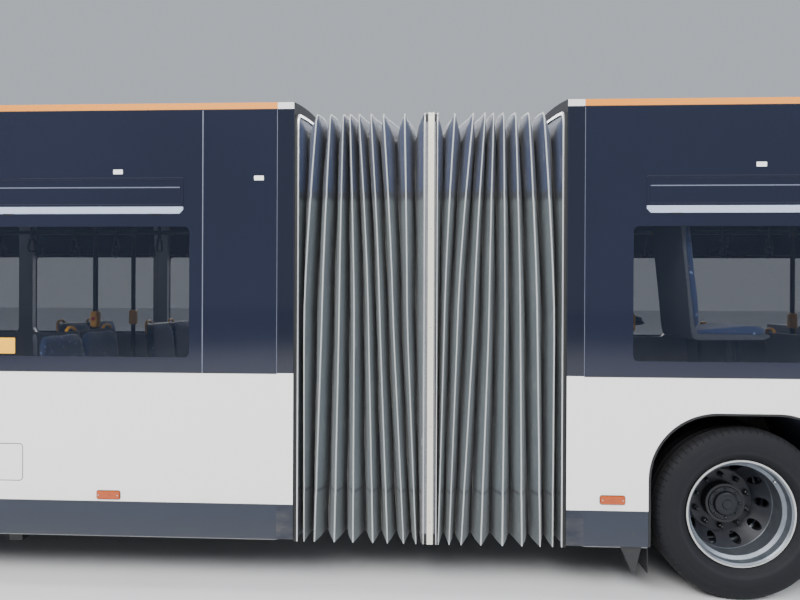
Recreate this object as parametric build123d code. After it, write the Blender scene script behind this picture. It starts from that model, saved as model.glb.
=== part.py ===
from build123d import *
from functools import lru_cache
import math
import os

# An articulated city bus: a front section, a turntable with bellows and a rear section
# Frame: X forward, Y to the bus's left, Z up from the road, origin under the middle of the bus
# Every size is in millimetres

# Stations along the bus
FRONT_OVERHANG = 2700
AXLE_1_TO_2 = 5105
AXLE_2_TO_JOINT = 1730
JOINT_TO_AXLE_3 = 5030
REAR_OVERHANG = 3405
BELLOWS_HALF = 755
PORTAL_DEPTH = 95
NOSE_DEPTH = 520
TAIL_DEPTH = 320

# Heights and the cross-section of the body
BODY_WIDTH = 2550
SKIRT_BOTTOM = 310
SKIRT_LINE = 505
BELT_LINE = 1240
GLASS_TOP = 2720
STRIPE_TOP = 2757
ROOF_CROWN = 2900
CEILING = 2690
CEILING_HALF = 820
COVE_BOTTOM = 2630
FLOOR_TOP = 360
FLOOR_THICK = 60
WALL = 60
SKIRT_THICK = 15
PANE = 8
PANE_SEAM = 8
SEAT_GAP = 0.3

# Wheels, arches and wheel boxes
TYRE_RADIUS = 478.5
TYRE_WIDTH = 275
RIM_LIP_RADIUS = 298.5
BEAD_RADIUS = 287
RIM_WIDTH = 210
DISC_OFFSET = 155
STEERED_WHEEL_Y = 1055
KINGPIN_Y = 940
TWIN_OUTER_Y = 1100
TWIN_INNER_Y = 790
SPINDLE_RADIUS = 55
HUB_RADIUS = 112
HUB_CAP = 12
STEERED_HUB_END = STEERED_WHEEL_Y + DISC_OFFSET + 30
TWIN_HUB_END = (TWIN_OUTER_Y + TWIN_INNER_Y) / 2 + 80
ARCH_HALF_WIDTH = 530
ARCH_TOP = 1045
ARCH_RADIUS = 370
BOX_SKIN = 25
STEER_BOX_INNER = 545
TWIN_BOX_INNER = 545
AXLE_BEAM_Z = 240
AXLE_BEAM_HALF = 45

# Doors on the right side: two leaves each, which swing inwards on arms
DOOR_1_X_FROM_FRONT = 1235
DOOR_2_X_FROM_AXLE_2 = 2552
DOOR_3_FROM_JOINT = 3300
DOOR_HALF_WIDTH = 625
DOOR_TOP = 2460
LEAF_THICK = 40
LEAF_FLUSH = 3
LEAF_JAMB_GAP = 12
LEAF_MEETING_GAP = 3
LEAF_PAST_ROLLER = 7
TRACK_INBOARD = 25
PILLAR_BEHIND_JAMB = 30
PILLAR_TOP = 2500
DOOR_PILLAR_RADIUS = 20
ARM_REST_ANGLE = 2
ARM_HALF_WIDTH = 14
ARM_THICK = 12
ARM_GAP = 5.5
HEADER_LIP = 24
PIN_RADIUS = 8
PIN_CLEARANCE = 0.5
ROLLER_RADIUS = 7

# The turntable, its frame and the bellows
DISC_RADIUS = 700
DISC_THICK = 30
DISC_GAP = 6
RING_OUTER = 520
RING_INNER = 400
RING_THICK = 50
RING_GAP = 0.5
FRONT_RING_BOTTOM = 170
TONGUE_HALF_WIDTH = 430
APRON_X = 480
APRON_HALF_WIDTH = 900
HOOP_HALF = 35
HOOP_DEPTH = 95
HOOP_SET_IN = 8
FOLDS_PER_HALF = 9
FOLD_DEPTH = 125
FOLD_WALL = 20
PORTAL_OPENING_HALF = 860
PORTAL_OPENING_TOP = 2440

# Stations worked out from the driving sizes
LENGTH = FRONT_OVERHANG + AXLE_1_TO_2 + AXLE_2_TO_JOINT + JOINT_TO_AXLE_3 + REAR_OVERHANG
FRONT_X = LENGTH / 2
REAR_X = -LENGTH / 2
AXLE_1_X = FRONT_X - FRONT_OVERHANG
AXLE_2_X = AXLE_1_X - AXLE_1_TO_2
JOINT_X = AXLE_2_X - AXLE_2_TO_JOINT
AXLE_3_X = JOINT_X - JOINT_TO_AXLE_3
FRONT_PORTAL_X = JOINT_X + BELLOWS_HALF
REAR_PORTAL_X = JOINT_X - BELLOWS_HALF
FRONT_WALL_START = FRONT_PORTAL_X + PORTAL_DEPTH
FRONT_WALL_END = FRONT_X - NOSE_DEPTH
REAR_WALL_START = REAR_PORTAL_X - PORTAL_DEPTH
REAR_WALL_END = REAR_X + TAIL_DEPTH
HALF = BODY_WIDTH / 2
FLOOR_BOTTOM = FLOOR_TOP - FLOOR_THICK
AXLE_Z = TYRE_RADIUS
LEFT = 1
RIGHT = -1


# Small helpers for shapes
def block(x0, x1, y0, y1, z0, z1):
    """A box between two corners, in any order."""
    size = (abs(x1 - x0), abs(y1 - y0), abs(z1 - z0))
    return Pos((x0 + x1) / 2, (y0 + y1) / 2, (z0 + z1) / 2) * Box(*size)


def along_x(face, x0, x1):
    """A cross-section (y, z) carried from x0 to x1."""
    return Pos(min(x0, x1), 0, 0) * extrude(Plane.YZ * face, amount=abs(x1 - x0))


def along_y(face, y0, y1):
    """A side view (x, z) carried from y0 to y1."""
    return Pos(0, max(y0, y1), 0) * extrude(Plane.XZ * face, amount=abs(y1 - y0))


def along_z(face, z0, z1):
    """A plan view (x, y) carried from z0 to z1."""
    return Pos(0, 0, z0) * extrude(face, amount=z1 - z0)


def polygon(points):
    """A flat face with straight edges."""
    return make_face(Polyline(*points, close=True))


def rounded(points, radii):
    """A flat face whose corners are rounded, one radius for each."""
    return make_face(FilletPolyline(*points, radius=radii, close=True))


def rod(start, end, radius):
    """A round bar between two points."""
    axis = Vector(*end) - Vector(*start)
    plane = Plane(origin=start, z_dir=axis)
    return extrude(plane * Circle(radius), amount=axis.length)


def bar_y(x, z, radius, y0, y1):
    """A round bar across the bus."""
    return rod((x, min(y0, y1), z), (x, max(y0, y1), z), radius)


def disc_z(x, y, radius, z0, z1):
    """An upright cylinder."""
    return Pos(x, y, z0) * extrude(Circle(radius), amount=z1 - z0)


def turned_y(points, x, y, z, side):
    """A profile of (outboard, radius) points turned about a wheel's axle."""
    outline = [(side * out, radius) for out, radius in points]
    ring = revolve(Plane.YZ * polygon(outline), axis=Axis.Y)
    return Pos(x, y, z) * ring


def join(pieces):
    """Solids fused to one."""
    whole = pieces[0]
    for piece in pieces[1:]:
        whole = whole + piece
    return whole


def gather(pieces):
    """Solids kept apart in one node."""
    solids = []
    for piece in pieces:
        solids.extend(piece.solids())
    return Compound(children=solids)


# The cross-section of the body
def body_section(inset=0):
    """The body's outline across the bus, arched over the roof."""
    half = HALF - inset
    bottom = SKIRT_BOTTOM - (inset > 0) * 400
    edge = STRIPE_TOP - inset
    crown = ROOF_CROWN - inset
    sides = Polyline((half, edge), (half, bottom), (-half, bottom), (-half, edge))
    arch = ThreePointArc((-half, edge), (0, crown), (half, edge))
    return make_face(sides + arch)


ROOF_SKIN = 40
DUCT_HALF = 1100
DUCT_SIDE = 2745


def roof_section():
    """The roof from its yellow edge rails to the ceiling inside."""
    inner = HALF - WALL
    under = Polyline(
        (HALF, STRIPE_TOP), (HALF, GLASS_TOP), (inner, GLASS_TOP), (inner, COVE_BOTTOM),
        (CEILING_HALF, CEILING), (-CEILING_HALF, CEILING), (-inner, COVE_BOTTOM),
        (-inner, GLASS_TOP), (-HALF, GLASS_TOP), (-HALF, STRIPE_TOP))
    arch = ThreePointArc((-HALF, STRIPE_TOP), (0, ROOF_CROWN), (HALF, STRIPE_TOP))
    duct_floor = CEILING + ROOF_SKIN
    duct_base = Polyline((-DUCT_HALF, DUCT_SIDE), (-DUCT_HALF, duct_floor), (DUCT_HALF, duct_floor),
                         (DUCT_HALF, DUCT_SIDE))
    duct_top = ThreePointArc((-DUCT_HALF, DUCT_SIDE), (0, ROOF_CROWN - ROOF_SKIN), (DUCT_HALF, DUCT_SIDE))
    return make_face(under + arch) - make_face(duct_base + duct_top)


def arch_shape(axle_x, grow=0):
    """A wheel arch in side view: upright sides, rounded shoulders, a flat top."""
    below = ARCH_TOP
    width = 2 * (ARCH_HALF_WIDTH + grow)
    height = ARCH_TOP + grow + below
    return Pos(axle_x, (ARCH_TOP + grow - below) / 2) * RectangleRounded(width, height, ARCH_RADIUS + grow)


# Panes along each side: start and end x, and what is behind the glass
WINDOW = "window"
BLIND = "blind"
DOOR_1_X = FRONT_X - DOOR_1_X_FROM_FRONT
DOOR_2_X = AXLE_2_X + DOOR_2_X_FROM_AXLE_2
DOOR_3_X = JOINT_X - DOOR_3_FROM_JOINT
WINDOW_BORDER = 70
WINDOW_SILL = 70
WINDOW_HEAD = 110
AXLE_2_PANE_LENGTH = 1480
PORTAL_PANE_LENGTH = 425


def spread(start, end, count, kind=WINDOW):
    """Equal panes between two stations."""
    step = (end - start) / count
    return [(start + i * step, start + (i + 1) * step, kind) for i in range(count)]


def front_right_panes():
    door_1_back = DOOR_1_X - DOOR_HALF_WIDTH
    door_1_front = DOOR_1_X + DOOR_HALF_WIDTH
    door_2_back = DOOR_2_X - DOOR_HALF_WIDTH
    door_2_front = DOOR_2_X + DOOR_HALF_WIDTH
    over_axle = FRONT_WALL_START + AXLE_2_PANE_LENGTH
    panes = [(FRONT_WALL_START, over_axle, WINDOW), (over_axle, door_2_back, WINDOW)]
    panes += spread(door_2_front, door_1_back, 2)
    panes += [(door_1_front, FRONT_WALL_END, BLIND)]
    return panes


def front_left_panes():
    over_axle = FRONT_WALL_START + AXLE_2_PANE_LENGTH
    return [(FRONT_WALL_START, over_axle, WINDOW)] + spread(over_axle, FRONT_WALL_END, 5)


def rear_right_panes():
    door_front = DOOR_3_X + DOOR_HALF_WIDTH
    door_back = DOOR_3_X - DOOR_HALF_WIDTH
    beside_portal = REAR_WALL_START - PORTAL_PANE_LENGTH
    panes = [(beside_portal, REAR_WALL_START, BLIND), (door_front, beside_portal, WINDOW)]
    return panes + spread(REAR_WALL_END, door_back, 3)


def rear_left_panes():
    beside_portal = REAR_WALL_START - PORTAL_PANE_LENGTH
    return [(beside_portal, REAR_WALL_START, BLIND)] + spread(REAR_WALL_END, beside_portal, 5)


def side_wall(side, x0, x1, axles, panes, doors):
    """A side wall, rebated for its skirt and glass, with arches, windows and doors cut."""
    outer = side * HALF
    inner = side * (HALF - WALL)
    wall = block(x0, x1, inner, outer, FLOOR_BOTTOM, GLASS_TOP)
    wall -= block(x0, x1, outer, side * (HALF - SKIRT_THICK), FLOOR_BOTTOM, SKIRT_LINE)
    wall -= block(x0, x1, outer, side * (HALF - PANE), BELT_LINE, GLASS_TOP)
    for axle_x in axles:
        wall -= along_y(arch_shape(axle_x), side * (HALF - WALL - 1), side * (HALF + 1))
    for start, end, kind in panes:
        if kind == WINDOW:
            hole = (end - start - 2 * WINDOW_BORDER, GLASS_TOP - WINDOW_HEAD - BELT_LINE - WINDOW_SILL)
            middle_z = (BELT_LINE + WINDOW_SILL + GLASS_TOP - WINDOW_HEAD) / 2
            shape = Pos((start + end) / 2, middle_z) * RectangleRounded(*hole, 60)
            wall -= along_y(shape, side * (HALF - WALL - 1), side * (HALF + 1))
    for door_x in doors:
        wall -= block(door_x - DOOR_HALF_WIDTH, door_x + DOOR_HALF_WIDTH, inner - side, outer + side,
                      FLOOR_TOP, DOOR_TOP)
    return wall


# Tilting top windows: how far they stay from the pane's ends, and their frame
HOPPER_END_GAP = 107
HOPPER_BY_PORTAL_GAP = 329
HOPPER_BOTTOM = 2134
HOPPER_TOP = 2338
HOPPER_FRAME = 16
HOPPER_PROUD = 3
HOPPER_HANDLE = 40


def hopper(start, end, side):
    """The frame of a tilting top window, with the broad handle strip along its foot."""
    face = side * HALF
    proud = side * (HALF + HOPPER_PROUD)
    frame = block(start, end, face, proud, HOPPER_BOTTOM, HOPPER_TOP)
    return frame - block(start + HOPPER_FRAME, end - HOPPER_FRAME, face, proud,
                         HOPPER_BOTTOM + HOPPER_HANDLE, HOPPER_TOP - HOPPER_FRAME)


def side_panes(side, panes, doors):
    """The flush outer panes of one side, a thin seam between neighbours."""
    made = []
    outer = side * HALF
    inner = side * (HALF - PANE)
    for start, end, kind in panes:
        pane = block(start + PANE_SEAM / 2, end - PANE_SEAM / 2, inner, outer, BELT_LINE, GLASS_TOP)
        if kind == WINDOW:
            first_gap = HOPPER_BY_PORTAL_GAP if start == FRONT_WALL_START else HOPPER_END_GAP
            pane += hopper(start + first_gap, end - HOPPER_END_GAP, side)
        made.append(pane)
    for door_x in doors:
        made.append(block(door_x - DOOR_HALF_WIDTH + PANE_SEAM / 2, door_x + DOOR_HALF_WIDTH - PANE_SEAM / 2,
                          inner, outer, DOOR_TOP - HEADER_LIP, GLASS_TOP))
    return made


def side_skirts(side, x0, x1, axles, doors):
    """The slate panels below the skirt line, cut at the arches and under the doors."""
    skirt = block(x0, x1, side * HALF, side * (HALF - SKIRT_THICK), SKIRT_BOTTOM, SKIRT_LINE)
    for axle_x in axles:
        skirt -= along_y(arch_shape(axle_x), side * (HALF - WALL), side * (HALF + 1))
    for door_x in doors:
        skirt -= block(door_x - DOOR_HALF_WIDTH, door_x + DOOR_HALF_WIDTH,
                       side * (HALF - WALL), side * (HALF + 1), FLOOR_TOP, SKIRT_LINE)
    return skirt


# Floors with their wheel boxes and the frame below them
RAIL_Y = 430
RAIL_WIDTH = 70
RAIL_BOTTOM = 200
CROSS_MEMBER_REACH = 900
CROSS_MEMBER_HALF = 1150


def wheel_box(axle_x, inner_y, side):
    """The cover over one wheel or pair, open below and to the outside."""
    outer_y = side * (HALF - WALL)
    shell = along_y(arch_shape(axle_x, BOX_SKIN), side * inner_y, outer_y)
    shell -= along_y(arch_shape(axle_x), side * (inner_y + BOX_SKIN), outer_y + side)
    below = block(axle_x - CROSS_MEMBER_REACH, axle_x + CROSS_MEMBER_REACH,
                  side * (inner_y - 10), outer_y + side, -ARCH_TOP - 100, FLOOR_BOTTOM)
    return shell - below


def floor_plate(x0, x1, axles):
    """The low floor between the walls, cut out under the wheel boxes."""
    inner = HALF - WALL
    plate = block(x0, x1, -inner, inner, FLOOR_BOTTOM, FLOOR_TOP)
    for axle_x, box_inner in axles:
        for side in (LEFT, RIGHT):
            plate -= along_y(arch_shape(axle_x), side * (box_inner + BOX_SKIN), side * (HALF + 1))
            plate += wheel_box(axle_x, box_inner, side)
    return plate


def underframe(x0, x1, gaps):
    """Two long rails and cross-members below the floor, broken at the axles."""
    members = []
    for side in (LEFT, RIGHT):
        members.append(block(x0, x1, side * (RAIL_Y - RAIL_WIDTH / 2), side * (RAIL_Y + RAIL_WIDTH / 2),
                             RAIL_BOTTOM, FLOOR_BOTTOM))
    rails = members[0] + members[1]
    for axle_x in gaps:
        rails -= block(axle_x - 160, axle_x + 160, -HALF, HALF, RAIL_BOTTOM - 10, FLOOR_BOTTOM)
    return rails


def cross_member(x):
    """A beam across the bus under the floor, a little above the long rails' lower faces."""
    return block(x - 40, x + 40, -CROSS_MEMBER_HALF, CROSS_MEMBER_HALF, RAIL_BOTTOM + 20, FLOOR_BOTTOM)


def front_floor():
    start = FRONT_WALL_START
    end = FRONT_WALL_END
    plate = floor_plate(start, end, [(AXLE_1_X, STEER_BOX_INNER), (AXLE_2_X, TWIN_BOX_INNER)])
    rails = underframe(start, end, [AXLE_1_X, AXLE_2_X])
    for x in (AXLE_1_X - CROSS_MEMBER_REACH, AXLE_1_X + CROSS_MEMBER_REACH, AXLE_2_X + CROSS_MEMBER_REACH,
              (AXLE_1_X + AXLE_2_X) / 2):
        rails += cross_member(x)
    nose_plate = block(end, end + 250, -(HALF - 330), HALF - 330, FLOOR_BOTTOM, FLOOR_TOP)
    return plate + rails + nose_plate


ENGINE_DECK_X = 1700
ENGINE_DECK_TOP = 1120
DECK_THICK = 40


def rear_floor():
    deck_start = REAR_X + ENGINE_DECK_X
    plate = floor_plate(deck_start, REAR_WALL_START, [(AXLE_3_X, TWIN_BOX_INNER)])
    rails = underframe(REAR_WALL_END, REAR_WALL_START, [AXLE_3_X])
    for x in (AXLE_3_X + CROSS_MEMBER_REACH, AXLE_3_X - CROSS_MEMBER_REACH,
              (AXLE_3_X + REAR_WALL_START) / 2 + 500):
        rails += cross_member(x)
    inner = HALF - WALL
    riser = block(deck_start - DECK_THICK, deck_start, -inner, inner, FLOOR_BOTTOM, ENGINE_DECK_TOP)
    deck = block(REAR_WALL_END, deck_start, -inner, inner, ENGINE_DECK_TOP - DECK_THICK, ENGINE_DECK_TOP)
    posts = rails
    for side in (LEFT, RIGHT):
        posts += block(REAR_WALL_END, REAR_WALL_END + 60, side * (RAIL_Y - RAIL_WIDTH / 2),
                       side * (RAIL_Y + RAIL_WIDTH / 2), RAIL_BOTTOM, ENGINE_DECK_TOP - DECK_THICK)
    return plate + riser + deck + posts


# The nose and the tail: a plan view and a side view that cross, and thin skins of the same form
NOSE_BOW = 90
NOSE_CORNER = 330
NOSE_RAKE = 170
RAKE_FOOT = 1120
RAKE_HEAD = 2560
NOSE_BROW = 250
TAIL_BOW = 30
TAIL_CORNER = 150
TAIL_BROW = 160


def end_plan(back_x, tip_x, bow, corner, inset):
    """The plan of one end, bowed across and rounded at its corners."""
    outward = 1 if tip_x > back_x else -1
    tip = tip_x - outward * inset
    half = HALF - inset
    sides = Polyline((tip - outward * bow, half), (back_x, half), (back_x, -half), (tip - outward * bow, -half))
    bowed = ThreePointArc((tip - outward * bow, -half), (tip, 0), (tip - outward * bow, half))
    face = make_face(sides + bowed)
    corners = face.vertices().sort_by(Axis.X)
    ends = corners[-2:] if outward > 0 else corners[:2]
    return fillet(ends, corner - inset)


def nose_side(inset):
    """The nose in side view: bumper, upright panel, raked screen and brow."""
    back = FRONT_WALL_END - (inset > 0) * 10
    tip = FRONT_X - inset
    bottom = SKIRT_BOTTOM - (inset > 0) * 400
    top = ROOF_CROWN + 20 - inset
    points = [(back, bottom), (tip - 35, bottom), (tip, SKIRT_LINE), (tip, RAKE_FOOT),
              (tip - NOSE_RAKE, RAKE_HEAD), (tip - NOSE_RAKE - NOSE_BROW, top), (back, top)]
    radii = [max(radius - inset, 5) for radius in (40, 120, 400, 160, 150)]
    return rounded(points, [0] + radii + [0])


def tail_side(inset):
    """The tail in side view, upright, with a rounded brow."""
    back = REAR_WALL_END + (inset > 0) * 10
    tip = REAR_X + inset
    bottom = SKIRT_BOTTOM - (inset > 0) * 400
    top = ROOF_CROWN + 20 - inset
    points = [(back, bottom), (tip, bottom), (tip, 2600), (tip + TAIL_BROW, top), (back, top)]
    radii = [max(radius - inset, 5) for radius in (30, 120, 120)]
    return rounded(points, [0] + radii + [0])


@lru_cache
def nose_form(inset):
    plan = end_plan(FRONT_WALL_END - (inset > 0) * 10, FRONT_X, NOSE_BOW, NOSE_CORNER, inset)
    form = along_z(plan, -500, ROOF_CROWN + 100)
    form &= along_y(nose_side(inset), -HALF, HALF)
    form &= along_x(body_section(inset), FRONT_WALL_END - 20, FRONT_X)
    return form


@lru_cache
def tail_form(inset):
    plan = end_plan(REAR_WALL_END + (inset > 0) * 10, REAR_X, TAIL_BOW, TAIL_CORNER, inset)
    form = along_z(plan, -500, ROOF_CROWN + 100)
    form &= along_y(tail_side(inset), -HALF, HALF)
    form &= along_x(body_section(inset), REAR_X, REAR_WALL_END + 20)
    return form


# Openings in the nose, seen from the front: middle y, middle z, width, height, corner radius
NOSE_OPENINGS = {
    "screen": (0, 1790, 2290, 1360, 110),
    "sign": (0, 2600, 1900, 190, 60),
    "left_lamp": (890, 700, 400, 190, 80),
    "right_lamp": (-890, 700, 400, 190, 80),
}
# The same for the tail
TAIL_OPENINGS = {
    "window": (0, 2090, 1960, 760, 90),
    "left_lamps": (1085, 900, 130, 520, 50),
    "right_lamps": (-1085, 900, 130, 520, 50),
}
HATCH = (0, 790, 1840, 660, 60)
HATCH_GAP = 10
HATCH_THICK = 40
HATCH_BARREL = 7
HATCH_BARREL_HALF = 30
HATCH_HINGES_Y = (-600, 600)
HATCH_AXIS_X = REAR_X + 8
HATCH_AXIS_Z = HATCH[1] + HATCH[3] / 2 + 8
OPENING_LAND = 30


def window_prism(opening, x0, x1, grow=0):
    """An opening's outline carried through an end of the body."""
    y, z, width, height, corner = opening
    shape = Pos(y, z) * RectangleRounded(width + 2 * grow, height + 2 * grow, corner + grow)
    return along_x(shape, x0, x1)


def end_shell(form, openings, reach):
    """A hollow end whose openings have a seat for a flush pane or lens."""
    outer = form(0)
    shell = outer - form(WALL)
    rim = outer - form(PANE + SEAT_GAP)
    for opening in openings.values():
        shell -= window_prism(opening, *reach, -OPENING_LAND)
        shell -= rim & window_prism(opening, *reach, 2)
    return shell


def skin_piece(form, opening, reach):
    """A pane or lens cut from the outer skin of an end."""
    return (form(0) - form(PANE)) & window_prism(opening, *reach)


NOSE_REACH = (FRONT_X - 460, FRONT_X + 10)
TAIL_REACH = (REAR_X - 10, REAR_X + 200)


TOW_BORE = 21
TOW_BOSS = 36
TOW_LENGTH = 120
FRONT_TOW_Y = 550
REAR_TOW_Y = -550
TOW_Z = 400
FRONT_TOW_X = FRONT_X - 14
REAR_TOW_X = REAR_X + 4


def add_tow_socket(shell, inner_x, mouth_x, y):
    """A boss through the skin, bored along the bus for the screwed towing eye."""
    way = 1 if mouth_x > inner_x else -1
    boss = rod((inner_x, y, TOW_Z), (mouth_x, y, TOW_Z), TOW_BOSS)
    bore = rod((inner_x - way, y, TOW_Z), (mouth_x + way * TOW_LENGTH, y, TOW_Z), TOW_BORE)
    return shell + boss - bore


# Grille slots in the nose and louvres in the engine hatch: first height, number, pitch, width, height
GRILLE = (570, 4, 46, 1060, 24)
LOUVRES = (560, 8, 58, 1560, 26)


def slots(table, reach):
    """Rounded slots one over another, carried through an end of the body."""
    first_z, count, pitch, width, height = table
    return [window_prism((0, first_z + i * pitch, width, height, height / 2 - 1), *reach) for i in range(count)]


def front_end():
    """The nose with its seats for screen, sign and lamps, its grille and the towing socket."""
    shell = end_shell(nose_form, NOSE_OPENINGS, NOSE_REACH)
    for slot in slots(GRILLE, NOSE_REACH):
        shell -= slot
    return add_tow_socket(shell, FRONT_TOW_X - TOW_LENGTH, FRONT_TOW_X, FRONT_TOW_Y)


def rear_end():
    """The tail with its seats for window and lamps, the hatch's opening and hinge barrels."""
    shell = end_shell(tail_form, TAIL_OPENINGS, TAIL_REACH)
    shell = add_tow_socket(shell, REAR_TOW_X + TOW_LENGTH, REAR_TOW_X, REAR_TOW_Y)
    shell -= window_prism(HATCH, *TAIL_REACH, HATCH_GAP)
    notch_top = HATCH_AXIS_Z + HATCH_BARREL + HATCH_GAP
    for y in HATCH_HINGES_Y:
        notch = HATCH_BARREL_HALF * 3 + HATCH_GAP
        shell -= block(REAR_X - 1, REAR_X + WALL + 20, y - notch, y + notch, HATCH_AXIS_Z - 20, notch_top)
        shell += bar_y(HATCH_AXIS_X, HATCH_AXIS_Z, HATCH_BARREL, y - HATCH_BARREL_HALF, y + HATCH_BARREL_HALF)
        shell += block(HATCH_AXIS_X, HATCH_AXIS_X + 12, y - HATCH_BARREL_HALF, y + HATCH_BARREL_HALF,
                       HATCH_AXIS_Z, notch_top + 5)
    return shell


def engine_hatch():
    panel = (tail_form(0) - tail_form(HATCH_THICK)) & window_prism(HATCH, *TAIL_REACH)
    for slot in slots(LOUVRES, TAIL_REACH):
        panel -= slot
    for y in HATCH_HINGES_Y:
        for way in (-1, 1):
            near = y + way * (HATCH_BARREL_HALF + SEAT_GAP)
            far = y + way * HATCH_BARREL_HALF * 3
            panel += bar_y(HATCH_AXIS_X, HATCH_AXIS_Z, HATCH_BARREL, near, far)
            panel += block(HATCH_AXIS_X - 2, HATCH_AXIS_X + 6, near, far, HATCH_AXIS_Z - 40, HATCH_AXIS_Z)
    return panel


# Glass, lamps and mirrors
def front_glazing():
    made = side_panes(LEFT, front_left_panes(), [])
    made += side_panes(RIGHT, front_right_panes(), [DOOR_1_X, DOOR_2_X])
    made.append(skin_piece(nose_form, NOSE_OPENINGS["screen"], NOSE_REACH))
    made.append(skin_piece(nose_form, NOSE_OPENINGS["sign"], NOSE_REACH))
    return gather(made)


def rear_glazing():
    made = side_panes(LEFT, rear_left_panes(), [])
    made += side_panes(RIGHT, rear_right_panes(), [DOOR_3_X])
    made.append(skin_piece(tail_form, TAIL_OPENINGS["window"], TAIL_REACH))
    return gather(made)


MARKER_LENGTH = 135
MARKER_HEIGHT = 46
MARKER_PROUD = 9
MARKER_Z = 553
FRONT_MARKERS_X = [JOINT_X + 1007, AXLE_1_X - 900, AXLE_1_X + 700]
REAR_MARKERS_X = [JOINT_X - 1812, AXLE_3_X + 760, AXLE_3_X - 900, REAR_WALL_END + 200]


def marker(x, side):
    """A side marker lamp, a shallow rounded lens on the panel."""
    shape = Pos(x, MARKER_Z) * RectangleRounded(MARKER_LENGTH, MARKER_HEIGHT, 12)
    return along_y(shape, side * HALF, side * (HALF + MARKER_PROUD))


def front_lamps():
    made = [skin_piece(nose_form, NOSE_OPENINGS[name], NOSE_REACH) for name in ("left_lamp", "right_lamp")]
    for x in FRONT_MARKERS_X:
        made += [marker(x, side) for side in (LEFT, RIGHT)]
    return gather(made)


def rear_lamps():
    made = [skin_piece(tail_form, TAIL_OPENINGS[name], TAIL_REACH) for name in ("left_lamps", "right_lamps")]
    for x in REAR_MARKERS_X:
        made += [marker(x, side) for side in (LEFT, RIGHT)]
    return gather(made)


MIRROR_ARM = 14
MIRROR_Z = 2150


def mirrors():
    made = []
    for side in (LEFT, RIGHT):
        root = (FRONT_WALL_END + 55, side * (HALF + 20), 2600)
        knee = (FRONT_X - 190, side * (HALF + 120), 2560)
        head = (FRONT_X - 120, side * (HALF + 125), MIRROR_Z + 150)
        arm = bar_y(root[0], root[2], 34, side * HALF, side * (HALF + 28))
        arm += rod(root, knee, MIRROR_ARM) + Pos(*knee) * Sphere(MIRROR_ARM) + rod(knee, head, MIRROR_ARM)
        shell = Pos(FRONT_X - 120, side * (HALF + 105), MIRROR_Z) * Box(110, 230, 400)
        shell = fillet(shell.edges().filter_by(Axis.Z), 40)
        made.append(arm + shell)
    return gather(made)


# Wipers: pivot and the two ends of the blade, each as distance from the middle and height
WIPER_PIVOT = (120, 1075)
WIPER_BLADE = ((282, 1137), (1003, 1371))
WIPER_PIVOT_RADIUS = 18
WIPER_ROD = 7
WIPER_PROUD = 20


def screen_point(y, z, proud):
    """A point in front of the bowed and raked windscreen."""
    bow = NOSE_BOW * (y / HALF) ** 2
    rake = NOSE_RAKE * max(z - RAKE_FOOT, 0) / (RAKE_HEAD - RAKE_FOOT)
    return FRONT_X - max(bow, rake) + proud, y, z


def wipers():
    """Two parked wipers on the nose: pivot, arm and blade along the raked screen."""
    made = []
    for side in (LEFT, RIGHT):
        pivot_y = side * WIPER_PIVOT[0]
        pivot_z = WIPER_PIVOT[1]
        inner, outer = [screen_point(side * y, z, WIPER_PROUD) for y, z in WIPER_BLADE]
        middle = [(a + b) / 2 for a, b in zip(inner, outer)]
        head = (FRONT_X + WIPER_PROUD + WIPER_ROD, pivot_y, pivot_z)
        wiper = rod((FRONT_X - 0.2, pivot_y, pivot_z), head, WIPER_PIVOT_RADIUS)
        wiper += rod((head[0] - WIPER_ROD, pivot_y, pivot_z), middle, WIPER_ROD)
        made.append(wiper + rod(inner, outer, WIPER_ROD))
    return gather(made)


# Seats, rails and the driver's place
SEAT_PITCH = 760
SEAT_WIDTH = 430
SEAT_DEPTH = 420
SEAT_BASE = 440
SEAT_BACK = 700
RAIL_RADIUS = 17
RAIL_Z = 2200
STANCHION_Y = 285


def seat(x, y, floor_z):
    """One passenger seat: cushion, back and pedestal, facing forward."""
    top = floor_z + SEAT_BASE
    side = polygon([
        (x, top - 60), (x + SEAT_DEPTH, top - 50), (x + SEAT_DEPTH, top), (x + 60, top - 20),
        (x - 20, top + SEAT_BACK - 60), (x - 75, top + SEAT_BACK - 60)])
    shell = along_y(side, y - SEAT_WIDTH / 2, y + SEAT_WIDTH / 2)
    leg = block(x + 110, x + 300, y - 30, y + 30, floor_z, top - 50)
    return shell + leg


# Rows of seats: first x, number of rows, side, height of what they stand on
FRONT_SEAT_ROWS = [
    (AXLE_2_X - 260, 1, LEFT, ARCH_TOP + BOX_SKIN), (AXLE_2_X - 260, 1, RIGHT, ARCH_TOP + BOX_SKIN),
    (AXLE_2_X + 760, 2, LEFT, FLOOR_TOP), (AXLE_2_X + 680, 1, RIGHT, FLOOR_TOP),
    (AXLE_1_X - 1400, 1, LEFT, FLOOR_TOP), (AXLE_1_X - 1400, 1, RIGHT, FLOOR_TOP),
]
REAR_SEAT_ROWS = [
    (REAR_PORTAL_X - 1500, 1, RIGHT, FLOOR_TOP), (REAR_PORTAL_X - 2300, 2, LEFT, FLOOR_TOP),
    (AXLE_3_X - 260, 1, LEFT, ARCH_TOP + BOX_SKIN), (AXLE_3_X - 260, 1, RIGHT, ARCH_TOP + BOX_SKIN),
    (REAR_X + 500, 1, LEFT, ENGINE_DECK_TOP), (REAR_X + 500, 1, RIGHT, ENGINE_DECK_TOP),
]


def seats(rows):
    made = []
    for first_x, count, side, base in rows:
        for i in range(count):
            for y in (HALF - WALL - 250, HALF - WALL - 690):
                if base > FLOOR_TOP + 10 and base < ENGINE_DECK_TOP and y < 700:
                    continue
                made.append(seat(first_x + i * SEAT_PITCH, side * y, base))
    return gather(made)


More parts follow.
